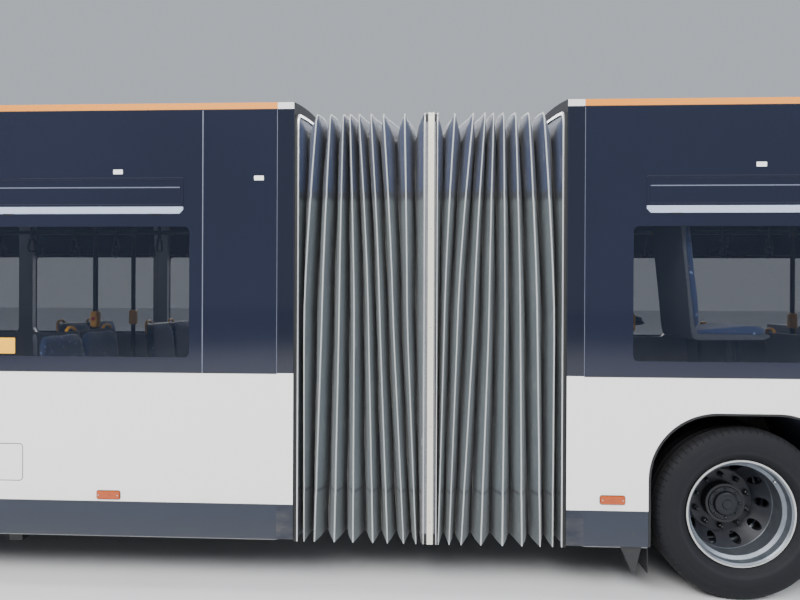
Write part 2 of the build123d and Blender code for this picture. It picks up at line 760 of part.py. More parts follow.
def handrails(x0, x1, posts):
    """Ceiling rails on both sides of the aisle with upright posts."""
    made = []
    for side in (LEFT, RIGHT):
        y = side * STANCHION_Y
        run = rod((x0, y, RAIL_Z), (x1, y, RAIL_Z), RAIL_RADIUS)
        for x in posts:
            run += disc_z(x, y, RAIL_RADIUS, FLOOR_TOP, CEILING)
        made.append(run)
    return gather(made)


FRONT_POSTS = [AXLE_2_X - 300, AXLE_2_X + 1150, DOOR_2_X + 900, AXLE_1_X - 700]
REAR_POSTS = [REAR_PORTAL_X - 700, DOOR_3_X + 850, AXLE_3_X + 600, AXLE_3_X - 700]
STEERING_WHEEL_RADIUS = 230


def driver_station():
    """Dashboard, steering wheel, seat and the screen behind the driver."""
    x = FRONT_X
    dash = polygon([(x - 330, FLOOR_TOP), (x - 330, 1000), (x - 420, 1130), (x - 620, 1120),
                    (x - 640, 1040), (x - 480, 960), (x - 480, FLOOR_TOP)])
    board = along_y(dash, 180, HALF - 340)
    column = rod((x - 540, 640, 1000), (x - 700, 640, 1160), 32)
    plane = Plane(origin=(x - 700, 640, 1160), z_dir=(-1, 0, 1))
    ring = plane * Torus(STEERING_WHEEL_RADIUS - 15, 15)
    spokes = plane * Box(2 * STEERING_WHEEL_RADIUS - 30, 40, 14)
    place = seat(x - 1400, 640, FLOOR_TOP + 200)
    podium = block(x - 1560, x - 640, 250, HALF - WALL, FLOOR_TOP, FLOOR_TOP + 200)
    screen = block(x - 1620, x - 1590, 250, HALF - WALL, FLOOR_TOP, 2100)
    return gather([board + column + ring + spokes, place + podium + screen])


# Roof units, engine and axles
UNIT_HEIGHT = 190
UNIT_HALF_WIDTH = 760
VENTS = 6
VENT_PITCH = 320
VENT_LENGTH = 240
VENT_DEPTH = 25
FAN_PITCH = 900
FAN_RADIUS = 250
FAN_DEPTH = 45
FRONT_UNIT_X = (JOINT_X + 4300, JOINT_X + 6700)
REAR_UNIT_X = (JOINT_X - 6900, JOINT_X - 4700)


def roof_unit(x0, x1):
    """A low air-conditioning housing seated on the arched roof."""
    half = UNIT_HALF_WIDTH
    top = ROOF_CROWN + UNIT_HEIGHT
    face = rounded([(-half, GLASS_TOP), (half, GLASS_TOP), (half, top - 40), (half - 90, top), (90 - half, top),
                    (-half, top - 40)], [1, 1, 40, 60, 60, 40])
    housing = along_x(face, x0, x1)
    roof = along_x(body_section(), x0 - 10, x1 + 10)
    middle = (x0 + x1) / 2
    for i in range(VENTS):
        vent_x = middle + (i - (VENTS - 1) / 2) * VENT_PITCH
        for side in (LEFT, RIGHT):
            housing -= block(vent_x - VENT_LENGTH / 2, vent_x + VENT_LENGTH / 2, side * (half - VENT_DEPTH),
                             side * (half + 1), ROOF_CROWN + 10, top - 60)
    for fan_x in (middle - FAN_PITCH / 2, middle + FAN_PITCH / 2):
        housing -= disc_z(fan_x, 0, FAN_RADIUS, top - FAN_DEPTH, top + 1)
    return housing - roof


ENGINE_SIZE = (1250, 950, 620)


def engine():
    length, width, height = ENGINE_SIZE
    x0 = REAR_WALL_END + 80
    return block(x0, x0 + length, -width / 2, width / 2, FLOOR_BOTTOM, FLOOR_BOTTOM + height)


SPRING_Y = 300
SPRING_RADIUS = 75


def dropped_beam(axle_x, end_y, eye_z):
    """An axle beam that dips under the low floor, with air springs up to the frame."""
    beam = block(axle_x - AXLE_BEAM_HALF, axle_x + AXLE_BEAM_HALF, -end_y, end_y,
                 AXLE_BEAM_Z - 50, AXLE_BEAM_Z + 50)
    for side in (LEFT, RIGHT):
        beam += block(axle_x - AXLE_BEAM_HALF, axle_x + AXLE_BEAM_HALF, side * (end_y - 45), side * end_y,
                      AXLE_BEAM_Z - 50, eye_z)
        for step in (-1, 1):
            arm_x = axle_x + step * 250
            beam += block(axle_x, arm_x, side * (SPRING_Y - 30), side * (SPRING_Y + 30),
                          AXLE_BEAM_Z - 40, AXLE_BEAM_Z)
            beam += disc_z(arm_x, side * SPRING_Y, SPRING_RADIUS, AXLE_BEAM_Z - 40, FLOOR_BOTTOM)
    return beam


KINGPIN_RADIUS = 38
LUG_THICK = 35
KNUCKLE_HALF_HEIGHT = 62


def steered_axle():
    """The front axle: a dropped beam whose forks hold the kingpins."""
    beam = dropped_beam(AXLE_1_X, 880, AXLE_Z + KNUCKLE_HALF_HEIGHT + LUG_THICK)
    for side in (LEFT, RIGHT):
        reach = KNUCKLE_HALF_HEIGHT + SEAT_GAP
        for z0 in (AXLE_Z + reach, AXLE_Z - reach - LUG_THICK):
            beam += block(AXLE_1_X - AXLE_BEAM_HALF, AXLE_1_X + AXLE_BEAM_HALF, side * 840, side * KINGPIN_Y,
                          z0, z0 + LUG_THICK)
            beam += disc_z(AXLE_1_X, side * KINGPIN_Y, AXLE_BEAM_HALF, z0, z0 + LUG_THICK)
    return beam


def driven_axle(axle_x):
    """A rear axle: dropped beam, end housings and spindles for twin wheels."""
    beam = dropped_beam(axle_x, 640, AXLE_Z + 90)
    for side in (LEFT, RIGHT):
        beam += bar_y(axle_x, AXLE_Z, 90, side * 590, side * 640)
        beam += bar_y(axle_x, AXLE_Z, SPINDLE_RADIUS, side * 600, side * (TWIN_HUB_END - HUB_CAP - 4))
    return beam


def knuckle(side):
    """A steering knuckle: its barrel on the kingpin and the wheel spindle."""
    barrel = disc_z(AXLE_1_X, side * KINGPIN_Y, KINGPIN_RADIUS, AXLE_Z - KNUCKLE_HALF_HEIGHT,
                    AXLE_Z + KNUCKLE_HALF_HEIGHT)
    spindle = bar_y(AXLE_1_X, AXLE_Z, SPINDLE_RADIUS, side * KINGPIN_Y, side * (STEERED_HUB_END - HUB_CAP - 4))
    return barrel + spindle


# Wheels
HAND_HOLES = 10
HAND_HOLE_RADIUS = 27
HAND_HOLE_CIRCLE = 218


def tyre(x, y, side):
    """One tyre, turned from a profile of straight runs."""
    half = TYRE_WIDTH / 2
    bore = BEAD_RADIUS + SEAT_GAP
    bead = RIM_WIDTH / 2 - 12
    profile = [
        (-bead, bore), (-bead, RIM_LIP_RADIUS + 4), (-half, bore + 66), (-half + 3, TYRE_RADIUS - 50),
        (-half + 36, TYRE_RADIUS), (half - 36, TYRE_RADIUS), (half - 3, TYRE_RADIUS - 50), (half, bore + 66),
        (bead, RIM_LIP_RADIUS + 4), (bead, bore)]
    return turned_y(profile, x, y, AXLE_Z, side)


def rim(x, y, side, disc_side):
    """One wheel rim: its well, lips and dished disc with hand holes."""
    w = RIM_WIDTH / 2
    lip = RIM_LIP_RADIUS
    seat_r = BEAD_RADIUS
    barrel = turned_y([
        (w, lip), (w - 9, lip), (w - 11, seat_r), (w - 50, seat_r - 5), (w - 62, seat_r - 24),
        (-w + 62, seat_r - 24), (-w + 50, seat_r - 5), (-w + 11, seat_r), (-w + 9, lip), (-w, lip),
        (-w, lip - 12), (-w + 8, seat_r - 9), (-w + 46, seat_r - 14), (-w + 58, seat_r - 33),
        (w - 58, seat_r - 33), (w - 46, seat_r - 14), (w - 8, seat_r - 9), (w, lip - 12)], x, y, AXLE_Z, side)
    d = disc_side
    disc = turned_y([
        (d * 44, seat_r - 28), (d * 62, seat_r - 28), (d * DISC_OFFSET, 188), (d * DISC_OFFSET, HUB_RADIUS - 5),
        (d * (DISC_OFFSET - 14), HUB_RADIUS - 5), (d * (DISC_OFFSET - 14), 182)], x, y, AXLE_Z, side)
    for i in range(HAND_HOLES):
        angle = 2 * math.pi * i / HAND_HOLES
        hole_x = x + HAND_HOLE_CIRCLE * math.cos(angle)
        hole_z = AXLE_Z + HAND_HOLE_CIRCLE * math.sin(angle)
        disc -= bar_y(hole_x, hole_z, HAND_HOLE_RADIUS, y - 180, y + 180)
    return barrel + disc


def hub(x, y_in, y_out, side):
    """The hub that carries a wheel's discs, bored for its spindle."""
    body = bar_y(x, AXLE_Z, HUB_RADIUS, side * y_in, side * y_out)
    return body - bar_y(x, AXLE_Z, SPINDLE_RADIUS + PIN_CLEARANCE, side * (y_in - 1), side * (y_out - HUB_CAP))


def steered_wheel(side):
    y = side * STEERED_WHEEL_Y
    return rim(AXLE_1_X, y, side, 1) + hub(AXLE_1_X, STEERED_HUB_END - 140, STEERED_HUB_END, side)


def twin_wheels(axle_x, side):
    pair = rim(axle_x, side * TWIN_OUTER_Y, side, -1) + rim(axle_x, side * TWIN_INNER_Y, side, 1)
    return pair + hub(axle_x, TWIN_HUB_END - 260, TWIN_HUB_END, side)


# Doors: a pillar with two arms carries each leaf, which turns back as the arm turns in.
# The arms pass under and over the leaf, and a roller at its far edge runs along the doorway.
TRACK_Y = -(HALF - WALL - TRACK_INBOARD)
LEAF_OUTER_Y = -(HALF - LEAF_FLUSH)
LEAF_INNER_Y = LEAF_OUTER_Y + LEAF_THICK
LOW_ARM_Z = FLOOR_TOP + ARM_GAP
LEAF_BOTTOM = LOW_ARM_Z + ARM_THICK + ARM_GAP
HIGH_ARM_Z = DOOR_TOP - ARM_THICK * 2
LEAF_TOP = HIGH_ARM_Z - ARM_GAP
FAR_EDGE = DOOR_HALF_WIDTH - LEAF_MEETING_GAP
ROLLER_REACH = PILLAR_BEHIND_JAMB + FAR_EDGE - LEAF_PAST_ROLLER
ARM_LENGTH = ROLLER_REACH / (2 * math.cos(math.radians(ARM_REST_ANGLE)))
PIN_Y = TRACK_Y - ARM_LENGTH * math.sin(math.radians(ARM_REST_ANGLE))
BRACKET = 12
LEAF_BORDER = 52
LEAF_CORNER = 30
LEAF_PANE_SET_IN = 22


def door_arm(door_x, way):
    """The pillar behind the jamb with its two arms; way points to the middle of the door."""
    pillar_x = door_x - way * (DOOR_HALF_WIDTH + PILLAR_BEHIND_JAMB)
    made = disc_z(pillar_x, TRACK_Y, DOOR_PILLAR_RADIUS, FLOOR_TOP + SEAT_GAP, PILLAR_TOP)
    pin_x = pillar_x + way * ROLLER_REACH / 2
    for z in (LOW_ARM_Z, HIGH_ARM_Z):
        bar = Pos(way * ARM_LENGTH / 2, 0, ARM_THICK / 2) * Box(ARM_LENGTH, 2 * ARM_HALF_WIDTH, ARM_THICK)
        made += Pos(pillar_x, TRACK_Y, z) * Rot(0, 0, -way * ARM_REST_ANGLE) * bar
        made += disc_z(pin_x, PIN_Y, ARM_HALF_WIDTH, z, z + ARM_THICK)
        made -= disc_z(pin_x, PIN_Y, PIN_RADIUS + PIN_CLEARANCE, z - 1, z + ARM_THICK + 1)
    return made


def door_leaf(door_x, way):
    """A door leaf: frame, flush pane, brackets with their pins, and the top roller."""
    near = door_x - way * (DOOR_HALF_WIDTH - LEAF_JAMB_GAP)
    far = door_x - way * LEAF_MEETING_GAP
    pin_x = door_x - way * (DOOR_HALF_WIDTH + PILLAR_BEHIND_JAMB - ROLLER_REACH / 2)
    roller_x = far - way * LEAF_PAST_ROLLER
    frame = block(near, far, LEAF_OUTER_Y, LEAF_INNER_Y, LEAF_BOTTOM, LEAF_TOP)
    opening = (abs(far - near) - 2 * LEAF_BORDER, LEAF_TOP - LEAF_BOTTOM - 2 * LEAF_BORDER)
    hole = Pos((near + far) / 2, (LEAF_BOTTOM + LEAF_TOP) / 2) * RectangleRounded(*opening, LEAF_CORNER)
    frame -= along_y(hole, LEAF_OUTER_Y - 1, LEAF_INNER_Y + 1)
    pane = block(near + way * LEAF_PANE_SET_IN, far - way * LEAF_PANE_SET_IN, LEAF_OUTER_Y,
                 LEAF_OUTER_Y + PANE, LEAF_BOTTOM + LEAF_PANE_SET_IN, LEAF_TOP - LEAF_PANE_SET_IN)
    frame -= pane
    for plate_z, pin_z0, pin_z1 in ((LEAF_BOTTOM, LOW_ARM_Z, LEAF_BOTTOM),
                                    (LEAF_TOP - BRACKET, LEAF_TOP, HIGH_ARM_Z + ARM_THICK)):
        frame += block(pin_x - ARM_HALF_WIDTH, pin_x + ARM_HALF_WIDTH, LEAF_INNER_Y - BRACKET, PIN_Y,
                       plate_z, plate_z + BRACKET)
        frame += disc_z(pin_x, PIN_Y, ARM_HALF_WIDTH, plate_z, plate_z + BRACKET)
        frame += disc_z(pin_x, PIN_Y, PIN_RADIUS, pin_z0, pin_z1)
    frame += block(roller_x - ROLLER_RADIUS, roller_x + ROLLER_RADIUS, LEAF_INNER_Y - BRACKET, TRACK_Y,
                   LEAF_TOP - BRACKET, LEAF_TOP)
    frame += disc_z(roller_x, TRACK_Y, ROLLER_RADIUS, LEAF_TOP - BRACKET, HIGH_ARM_Z + ARM_THICK)
    return gather([frame, pane])


# The joint between the sections
def end_ring(x0, x1):
    """The frame that closes a section's end round its passage."""
    ring = along_x(body_section(), x0, x1)
    opening = Pos(0, (FLOOR_TOP + PORTAL_OPENING_TOP) / 2) * RectangleRounded(
        2 * PORTAL_OPENING_HALF, PORTAL_OPENING_TOP - FLOOR_TOP, 60)
    return ring - along_x(opening, x0 - 1, x1 + 1)


def tongue(way, ring_bottom):
    """The floor apron and the turntable ring with its arm, fixed to one section."""
    end = JOINT_X + way * BELLOWS_HALF
    apron = block(JOINT_X + way * APRON_X, end, -APRON_HALF_WIDTH, APRON_HALF_WIDTH,
                  FLOOR_TOP - DISC_THICK, FLOOR_TOP)
    apron -= disc_z(JOINT_X, 0, DISC_RADIUS + DISC_GAP, FLOOR_BOTTOM - 10, FLOOR_TOP + 10)
    ring_top = ring_bottom + RING_THICK
    arm = block(JOINT_X, end + way * PORTAL_DEPTH, -TONGUE_HALF_WIDTH, TONGUE_HALF_WIDTH, ring_bottom, ring_top)
    arm += disc_z(JOINT_X, 0, RING_OUTER, ring_bottom, ring_top)
    arm -= disc_z(JOINT_X, 0, RING_INNER, ring_bottom - 1, ring_top + 1)
    web = block(end, end + way * PORTAL_DEPTH, -TONGUE_HALF_WIDTH, TONGUE_HALF_WIDTH,
                ring_bottom, SKIRT_BOTTOM + 20)
    return apron + arm + web


def front_portal():
    frame = end_ring(FRONT_PORTAL_X, FRONT_WALL_START)
    return frame + tongue(1, FRONT_RING_BOTTOM)


def rear_portal():
    frame = end_ring(REAR_WALL_START, REAR_PORTAL_X)
    return frame + tongue(-1, FRONT_RING_BOTTOM + RING_THICK + RING_GAP)


HOOP_CORNER = 75


def hoop_outline(inset, low=SKIRT_BOTTOM + 5):
    """The outline of the bellows and the middle frame, across the bus."""
    half = HALF - HOOP_SET_IN - inset
    top = STRIPE_TOP - 40 - inset
    crown = ROOF_CROWN - 60 - inset
    corner = HOOP_CORNER
    return [(half, low), (half, top - corner), (half - corner, top), (half / 2, crown - 30), (0, crown),
            (-half / 2, crown - 30), (-half + corner, top), (-half, top - corner), (-half, low)]


def middle_frame():
    """The turning floor disc with its hub and the hoop over it."""
    hoop = along_x(polygon(hoop_outline(0)), JOINT_X - HOOP_HALF, JOINT_X + HOOP_HALF)
    inside = polygon(hoop_outline(HOOP_DEPTH, FLOOR_TOP))
    hoop -= along_x(inside, JOINT_X - HOOP_HALF - 1, JOINT_X + HOOP_HALF + 1)
    disc = disc_z(JOINT_X, 0, DISC_RADIUS, FLOOR_TOP - DISC_THICK, FLOOR_TOP)
    hub_bottom = FRONT_RING_BOTTOM
    hub_tube = disc_z(JOINT_X, 0, RING_INNER - RING_GAP, hub_bottom, FLOOR_TOP - DISC_THICK)
    hub_tube -= disc_z(JOINT_X, 0, RING_INNER - 60, hub_bottom - 1, FLOOR_TOP - DISC_THICK)
    return hoop + disc + hub_tube


def bellows_half(way):
    """Folds between the middle frame and one section, each a ridge and two flanks."""
    start = JOINT_X + way * HOOP_HALF
    step = (BELLOWS_HALF - HOOP_HALF) / FOLDS_PER_HALF / 2

    def flank(at, ridge_first):
        shell = None
        for inset, low in ((0, SKIRT_BOTTOM + 5), (FOLD_WALL, SKIRT_BOTTOM - 40)):
            near = inset if ridge_first else inset + FOLD_DEPTH
            far = inset + FOLD_DEPTH if ridge_first else inset
            first = Pos(at, 0, 0) * (Plane.YZ * polygon(hoop_outline(near, low)))
            last = Pos(at + way * step, 0, 0) * (Plane.YZ * polygon(hoop_outline(far, low)))
            body = loft([first, last], ruled=True)
            shell = shell - body if shell else body
        return shell

    made = []
    for i in range(FOLDS_PER_HALF):
        base = start + way * 2 * step * i
        made.append(flank(base, False))
        made.append(flank(base + way * step, True))
    return join(made)


# Everything by name
def nodes():
    bellows = bellows_half(1)
    parts = {
        "front_floor": front_floor(),
        "front_left_wall": side_wall(LEFT, FRONT_WALL_START, FRONT_WALL_END, [AXLE_1_X, AXLE_2_X],
                                     front_left_panes(), []),
        "front_right_wall": side_wall(RIGHT, FRONT_WALL_START, FRONT_WALL_END, [AXLE_1_X, AXLE_2_X],
                                      front_right_panes(), [DOOR_1_X, DOOR_2_X]),
        "front_roof": along_x(roof_section(), FRONT_WALL_START, FRONT_WALL_END),
        "front_end": front_end(),
        "front_glazing": front_glazing(),
        "front_skirts": gather([
            side_skirts(LEFT, FRONT_WALL_START, FRONT_WALL_END, [AXLE_1_X, AXLE_2_X], []),
            side_skirts(RIGHT, FRONT_WALL_START, FRONT_WALL_END, [AXLE_1_X, AXLE_2_X], [DOOR_1_X, DOOR_2_X])]),
        "front_lamps": front_lamps(),
        "mirrors": mirrors(),
        "wipers": wipers(),
        "driver_station": driver_station(),
        "front_seats": seats(FRONT_SEAT_ROWS),
        "front_handrails": handrails(FRONT_WALL_START + 300, AXLE_1_X, FRONT_POSTS),
        "front_roof_unit": roof_unit(*FRONT_UNIT_X),
        "front_axles": gather([steered_axle(), driven_axle(AXLE_2_X)]),
        "front_portal": front_portal(),
        "middle_frame": middle_frame(),
        "bellows_front": bellows,
        "bellows_rear": mirror(bellows, about=Plane.YZ.offset(JOINT_X)),
        "rear_floor": rear_floor(),
        "rear_left_wall": side_wall(LEFT, REAR_WALL_END, REAR_WALL_START, [AXLE_3_X], rear_left_panes(), []),
        "rear_right_wall": side_wall(RIGHT, REAR_WALL_END, REAR_WALL_START, [AXLE_3_X],
                                     rear_right_panes(), [DOOR_3_X]),
        "rear_roof": along_x(roof_section(), REAR_WALL_END, REAR_WALL_START),
        "rear_end": rear_end(),
        "rear_glazing": rear_glazing(),
        "rear_skirts": gather([
            side_skirts(LEFT, REAR_WALL_END, REAR_WALL_START, [AXLE_3_X], []),
            side_skirts(RIGHT, REAR_WALL_END, REAR_WALL_START, [AXLE_3_X], [DOOR_3_X])]),
        "rear_lamps": rear_lamps(),
        "rear_seats": seats(REAR_SEAT_ROWS),
        "rear_handrails": handrails(AXLE_3_X - 800, REAR_WALL_START - 200, REAR_POSTS),
        "rear_roof_unit": roof_unit(*REAR_UNIT_X),
        "rear_axle": driven_axle(AXLE_3_X),
        "rear_portal": rear_portal(),
        "engine": engine(),
        "engine_hatch": engine_hatch(),
    }
    for name, side in (("left", LEFT), ("right", RIGHT)):
        parts["knuckle_" + name] = knuckle(side)
        parts["wheel_1_" + name + "_rim"] = steered_wheel(side)
        parts["wheel_1_" + name + "_tyre"] = tyre(AXLE_1_X, side * STEERED_WHEEL_Y, side)
        for number, axle_x in ((2, AXLE_2_X), (3, AXLE_3_X)):
            parts["wheel_%d_%s_rims" % (number, name)] = twin_wheels(axle_x, side)
            parts["wheel_%d_%s_tyres" % (number, name)] = gather([
                tyre(axle_x, side * TWIN_OUTER_Y, side), tyre(axle_x, side * TWIN_INNER_Y, side)])
    for number, door_x in ((1, DOOR_1_X), (2, DOOR_2_X), (3, DOOR_3_X)):
        for name, way in (("rear", 1), ("front", -1)):
            parts["door_%d_%s_arm" % (number, name)] = door_arm(door_x, way)
            parts["door_%d_%s_leaf" % (number, name)] = door_leaf(door_x, way)
    return parts


def main():
    os.makedirs("parts", exist_ok=True)
    for name, shape in nodes().items():
        export_step(shape, "parts/" + name + ".step")
        print(name, round(shape.volume / 1e9, 4))


main()
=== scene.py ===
import bmesh
import bpy
import math
from mathutils import Matrix, Vector
from mathutils.bvhtree import BVHTree


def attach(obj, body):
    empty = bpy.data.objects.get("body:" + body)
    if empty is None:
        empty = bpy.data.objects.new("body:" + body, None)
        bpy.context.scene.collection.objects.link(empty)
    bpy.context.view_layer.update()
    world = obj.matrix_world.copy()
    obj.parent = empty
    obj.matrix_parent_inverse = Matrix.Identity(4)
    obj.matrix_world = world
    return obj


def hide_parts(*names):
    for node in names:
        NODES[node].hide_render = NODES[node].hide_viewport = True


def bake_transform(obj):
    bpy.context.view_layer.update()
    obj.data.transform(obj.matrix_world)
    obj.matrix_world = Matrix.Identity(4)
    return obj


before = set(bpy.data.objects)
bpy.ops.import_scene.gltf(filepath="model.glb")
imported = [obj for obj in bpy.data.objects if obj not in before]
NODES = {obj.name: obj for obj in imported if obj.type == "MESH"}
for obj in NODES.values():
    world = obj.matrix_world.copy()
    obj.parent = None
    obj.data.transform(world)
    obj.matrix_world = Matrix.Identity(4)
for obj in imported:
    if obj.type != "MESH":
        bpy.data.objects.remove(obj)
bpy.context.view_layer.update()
scene = bpy.context.scene

# Places in the row frame, in metres
HALF = 1.275
JOINT = -0.55
FRONT_FACE = 0.205
REAR_FACE = -1.305
FRONT_WALL = (0.300, 8.465)
REAR_WALL = (-8.665, -1.400)
FRAME_HALF = 0.035
AXLES = (6.285, 1.180, -5.580)
AXLE_Z = 0.4785
SKIRT = 0.505
BELT = 1.240
GLASS_TOP = 2.720
HOOP_SIDE = HALF - 0.008
DOORS = (7.750, 3.732, -3.850)
DOOR_HALF = 0.625
OUTSIDE = 1.2615
SIDE_SKIN = 1.262
RAIL_TOP = 2.7575
CREASE_TOP = 2.249
CREASE_FOOT = 0.58
FLOOR_TOP = 0.3605
CEILING = 2.6895
TAIL_LAMPS = (1.098, 0.985, 0.872, 0.760)
WALLS = {"front": FRONT_WALL, "rear": REAR_WALL}


# Materials
def srgb(r, g, b):
    """A colour read off a screen, 0 to 255, as the shader wants it."""
    out = []
    for value in (r, g, b):
        c = value / 255
        out.append(c / 12.92 if c <= 0.04045 else ((c + 0.055) / 1.055) ** 2.4)
    return tuple(out)


class Paint:
    """A procedural material, built up from sockets and plain numbers."""

    def __init__(self, name, color=(0.5, 0.5, 0.5), rough=0.5, metal=0.0, coat=0.0, alpha=1.0):
        self.material = bpy.data.materials.new(name)
        self.material.use_nodes = True
        self.tree = self.material.node_tree
        self.shader = self.tree.nodes["Principled BSDF"]
        self.kept = {}
        self.set("Base Color", color)
        self.set("Roughness", rough)
        if metal:
            self.set("Metallic", metal)
        if coat:
            self.set("Coat Weight", coat)
            self.set("Coat Roughness", 0.06)
        if alpha < 1:
            self.set("Alpha", alpha)

    def feed(self, socket, value):
        if isinstance(value, bpy.types.NodeSocket):
            self.tree.links.new(value, socket)
        elif isinstance(value, tuple) and len(value) == 3 and socket.type == "RGBA":
            socket.default_value = (*value, 1.0)
        else:
            socket.default_value = value

    def set(self, name, value):
        self.feed(self.shader.inputs[name], value)
        return self

    def node(self, kind, inputs, **settings):
        made = self.tree.nodes.new(kind)
        for key, value in settings.items():
            setattr(made, key, value)
        for key, value in inputs.items():
            self.feed(made.inputs[key], value)
        return made

    def coords(self):
        if "coords" not in self.kept:
            self.kept["coords"] = self.tree.nodes.new("ShaderNodeTexCoord").outputs["Object"]
        return self.kept["coords"]

    def axis(self, letter):
        if "axes" not in self.kept:
            self.kept["axes"] = self.node("ShaderNodeSeparateXYZ", {"Vector": self.coords()})
        return self.kept["axes"].outputs[letter]

    def do(self, operation, a, b=0.0):
        return self.node("ShaderNodeMath", {0: a, 1: b}, operation=operation).outputs[0]

    def both(self, a, b):
        return self.do("MULTIPLY", a, b)

    def either(self, a, b):
        return self.do("MAXIMUM", a, b)

    def above(self, value, edge, soft=0.0005):
        """1 where value is above the edge, with a soft change."""
        inputs = {"Value": value, "From Min": edge - soft, "From Max": edge + soft}
        return self.node("ShaderNodeMapRange", inputs, interpolation_type="SMOOTHSTEP").outputs[0]

    def flip(self, value):
        return self.do("SUBTRACT", 1.0, value)

    def below(self, value, edge, soft=0.0005):
        return self.flip(self.above(value, edge, soft))

    def within(self, value, low, high, soft=0.0005):
        return self.both(self.above(value, low, soft), self.below(value, high, soft))

    def distance(self, a, b):
        """How far a point is from an axis, from its offsets in two directions."""
        return self.do("SQRT", self.do("ADD", self.both(a, a), self.both(b, b)))

    def zigzag(self, value, times):
        """A ridge from 0 to 0.5 and back, this many times for each unit of the value."""
        return self.do("PINGPONG", self.do("MULTIPLY", value, times), 0.5)

    def tint(self, color, mask, share, shade):
        """The colour with a share of another one laid over it where the mask is 1."""
        return self.mix(self.do("MULTIPLY", mask, share), color, shade)

    def size_of(self, letter):
        return self.do("ABSOLUTE", self.axis(letter))

    def noise(self, scale, detail=3.0, rough=0.5, stretch=(1, 1, 1)):
        at = self.coords()
        if stretch != (1, 1, 1):
            at = self.node("ShaderNodeMapping", {"Vector": at, "Scale": stretch}).outputs[0]
        inputs = {"Vector": at, "Scale": scale, "Detail": detail, "Roughness": rough}
        return self.node("ShaderNodeTexNoise", inputs).outputs["Fac"]

    def grains(self, scale, stretch=(1, 1, 1)):
        at = self.node("ShaderNodeMapping", {"Vector": self.coords(), "Scale": stretch}).outputs[0]
        return self.node("ShaderNodeTexVoronoi", {"Vector": at, "Scale": scale}).outputs["Distance"]

    def mix(self, factor, a, b):
        made = self.tree.nodes.new("ShaderNodeMix")
        made.data_type = "RGBA"
        self.feed(made.inputs[0], factor)
        self.feed(made.inputs[6], a)
        self.feed(made.inputs[7], b)
        return made.outputs[2]

    def blend(self, factor, a, b):
        made = self.tree.nodes.new("ShaderNodeMix")
        self.feed(made.inputs[0], factor)
        self.feed(made.inputs[2], a)
        self.feed(made.inputs[3], b)
        return made.outputs[0]

    def bump(self, height, distance, strength=1.0):
        inputs = {"Height": height, "Distance": distance, "Strength": strength}
        if "normal" in self.kept:
            inputs["Normal"] = self.kept["normal"]
        self.kept["normal"] = self.node("ShaderNodeBump", inputs).outputs[0]
        self.feed(self.shader.inputs["Normal"], self.kept["normal"])
        return self


WHITE = srgb(226, 226, 223)
SLATE = srgb(11, 21, 38)
DUST = srgb(150, 142, 128)
ORANGE = srgb(206, 124, 0)
NIGHT = srgb(18, 22, 36)
LINING = srgb(150, 152, 155)


def body_paint(name, masks, rough=0.34, coat=0.6, polished=None, dull=None):
    """Coach paint over a body shell: masks are (mask maker, colour), later ones on top."""
    paint = Paint(name, WHITE, rough, coat=coat)
    color = paint.mix(paint.noise(0.9, 2.0), WHITE, srgb(219, 220, 218))
    for mask, shade in masks:
        color = paint.mix(mask(paint), color, shade)
    low = paint.below(paint.axis("Z"), 0.55, 0.42)
    film = paint.both(low, paint.above(paint.noise(5.0, 5.0, 0.65, (1, 1, 3)), 0.56, 0.22))
    color = paint.tint(color, film, 0.16, DUST)
    paint.set("Base Color", color)
    gloss = paint.blend(paint.noise(22.0, 4.0), rough - 0.07, rough + 0.10)
    if polished:
        gloss = paint.blend(polished(paint), gloss, 0.06)
    if dull:
        gloss = paint.blend(dull(paint), gloss, 0.95)
    paint.set("Roughness", gloss)
    paint.bump(paint.noise(1.6, 1.0), 0.0016, 0.5)
    paint.bump(paint.noise(260.0, 1.0), 0.00004, 0.5)
    return paint.material


def outer(paint):
    return paint.above(paint.size_of("Y"), OUTSIDE)


def inside_shell(paint):
    return paint.flip(outer(paint))


def plain(name, color, rough, metal=0.0, coat=0.0, grain=0.00012, scale=500.0, spread=0.06, tone=0.06):
    """A one-colour finish with grain, uneven gloss and a light change of tone."""
    paint = Paint(name, color, rough, metal, coat)
    darker = tuple(c * (1 - tone * 2) for c in color)
    paint.set("Base Color", paint.mix(paint.noise(7.0, 4.0), darker, color))
    paint.set("Roughness", paint.blend(paint.noise(30.0, 4.0), max(rough - spread, 0.02), rough + spread))
    paint.bump(paint.noise(scale, 2.0), grain, 0.6)
    return paint.material


def make_wall_paint():
    def jambs(p):
        mask = 0.0
        for x in DOORS:
            offset = p.do("ABSOLUTE", p.do("SUBTRACT", p.axis("X"), x))
            mask = p.either(p.within(offset, DOOR_HALF - 0.001, DOOR_HALF + 0.001), mask)
        return p.both(mask, p.below(p.size_of("Y"), 1.2745))

    return body_paint("wall_paint", [(inside_shell, LINING), (jambs, srgb(24, 25, 27))])


def rail_mask(paint, low):
    """The orange rail along the roof's edge, from the given height up."""
    side = paint.above(paint.size_of("Y"), SIDE_SKIN)
    return paint.both(side, paint.within(paint.axis("Z"), low, RAIL_TOP))


def make_roof_paint():
    def stripe(p):
        return rail_mask(p, 2.7)

    def ceiling(p):
        return p.both(p.below(p.axis("Z"), 2.7195), p.below(p.size_of("Y"), SIDE_SKIN))

    return body_paint("roof_paint", [(stripe, ORANGE), (ceiling, srgb(196, 198, 198))], 0.4, 0.15)


def make_end_paint(name, low_z, mask_z):
    """Paint of the nose or the tail: slate below, white above, black round the glass, an orange rail."""
    def slate(p):
        return p.below(p.axis("Z"), low_z)

    def black(p):
        return p.within(p.axis("Z"), mask_z, GLASS_TOP)

    def rail(p):
        return rail_mask(p, GLASS_TOP)

    return body_paint(name, [(slate, SLATE), (black, NIGHT), (rail, ORANGE)], polished=black)


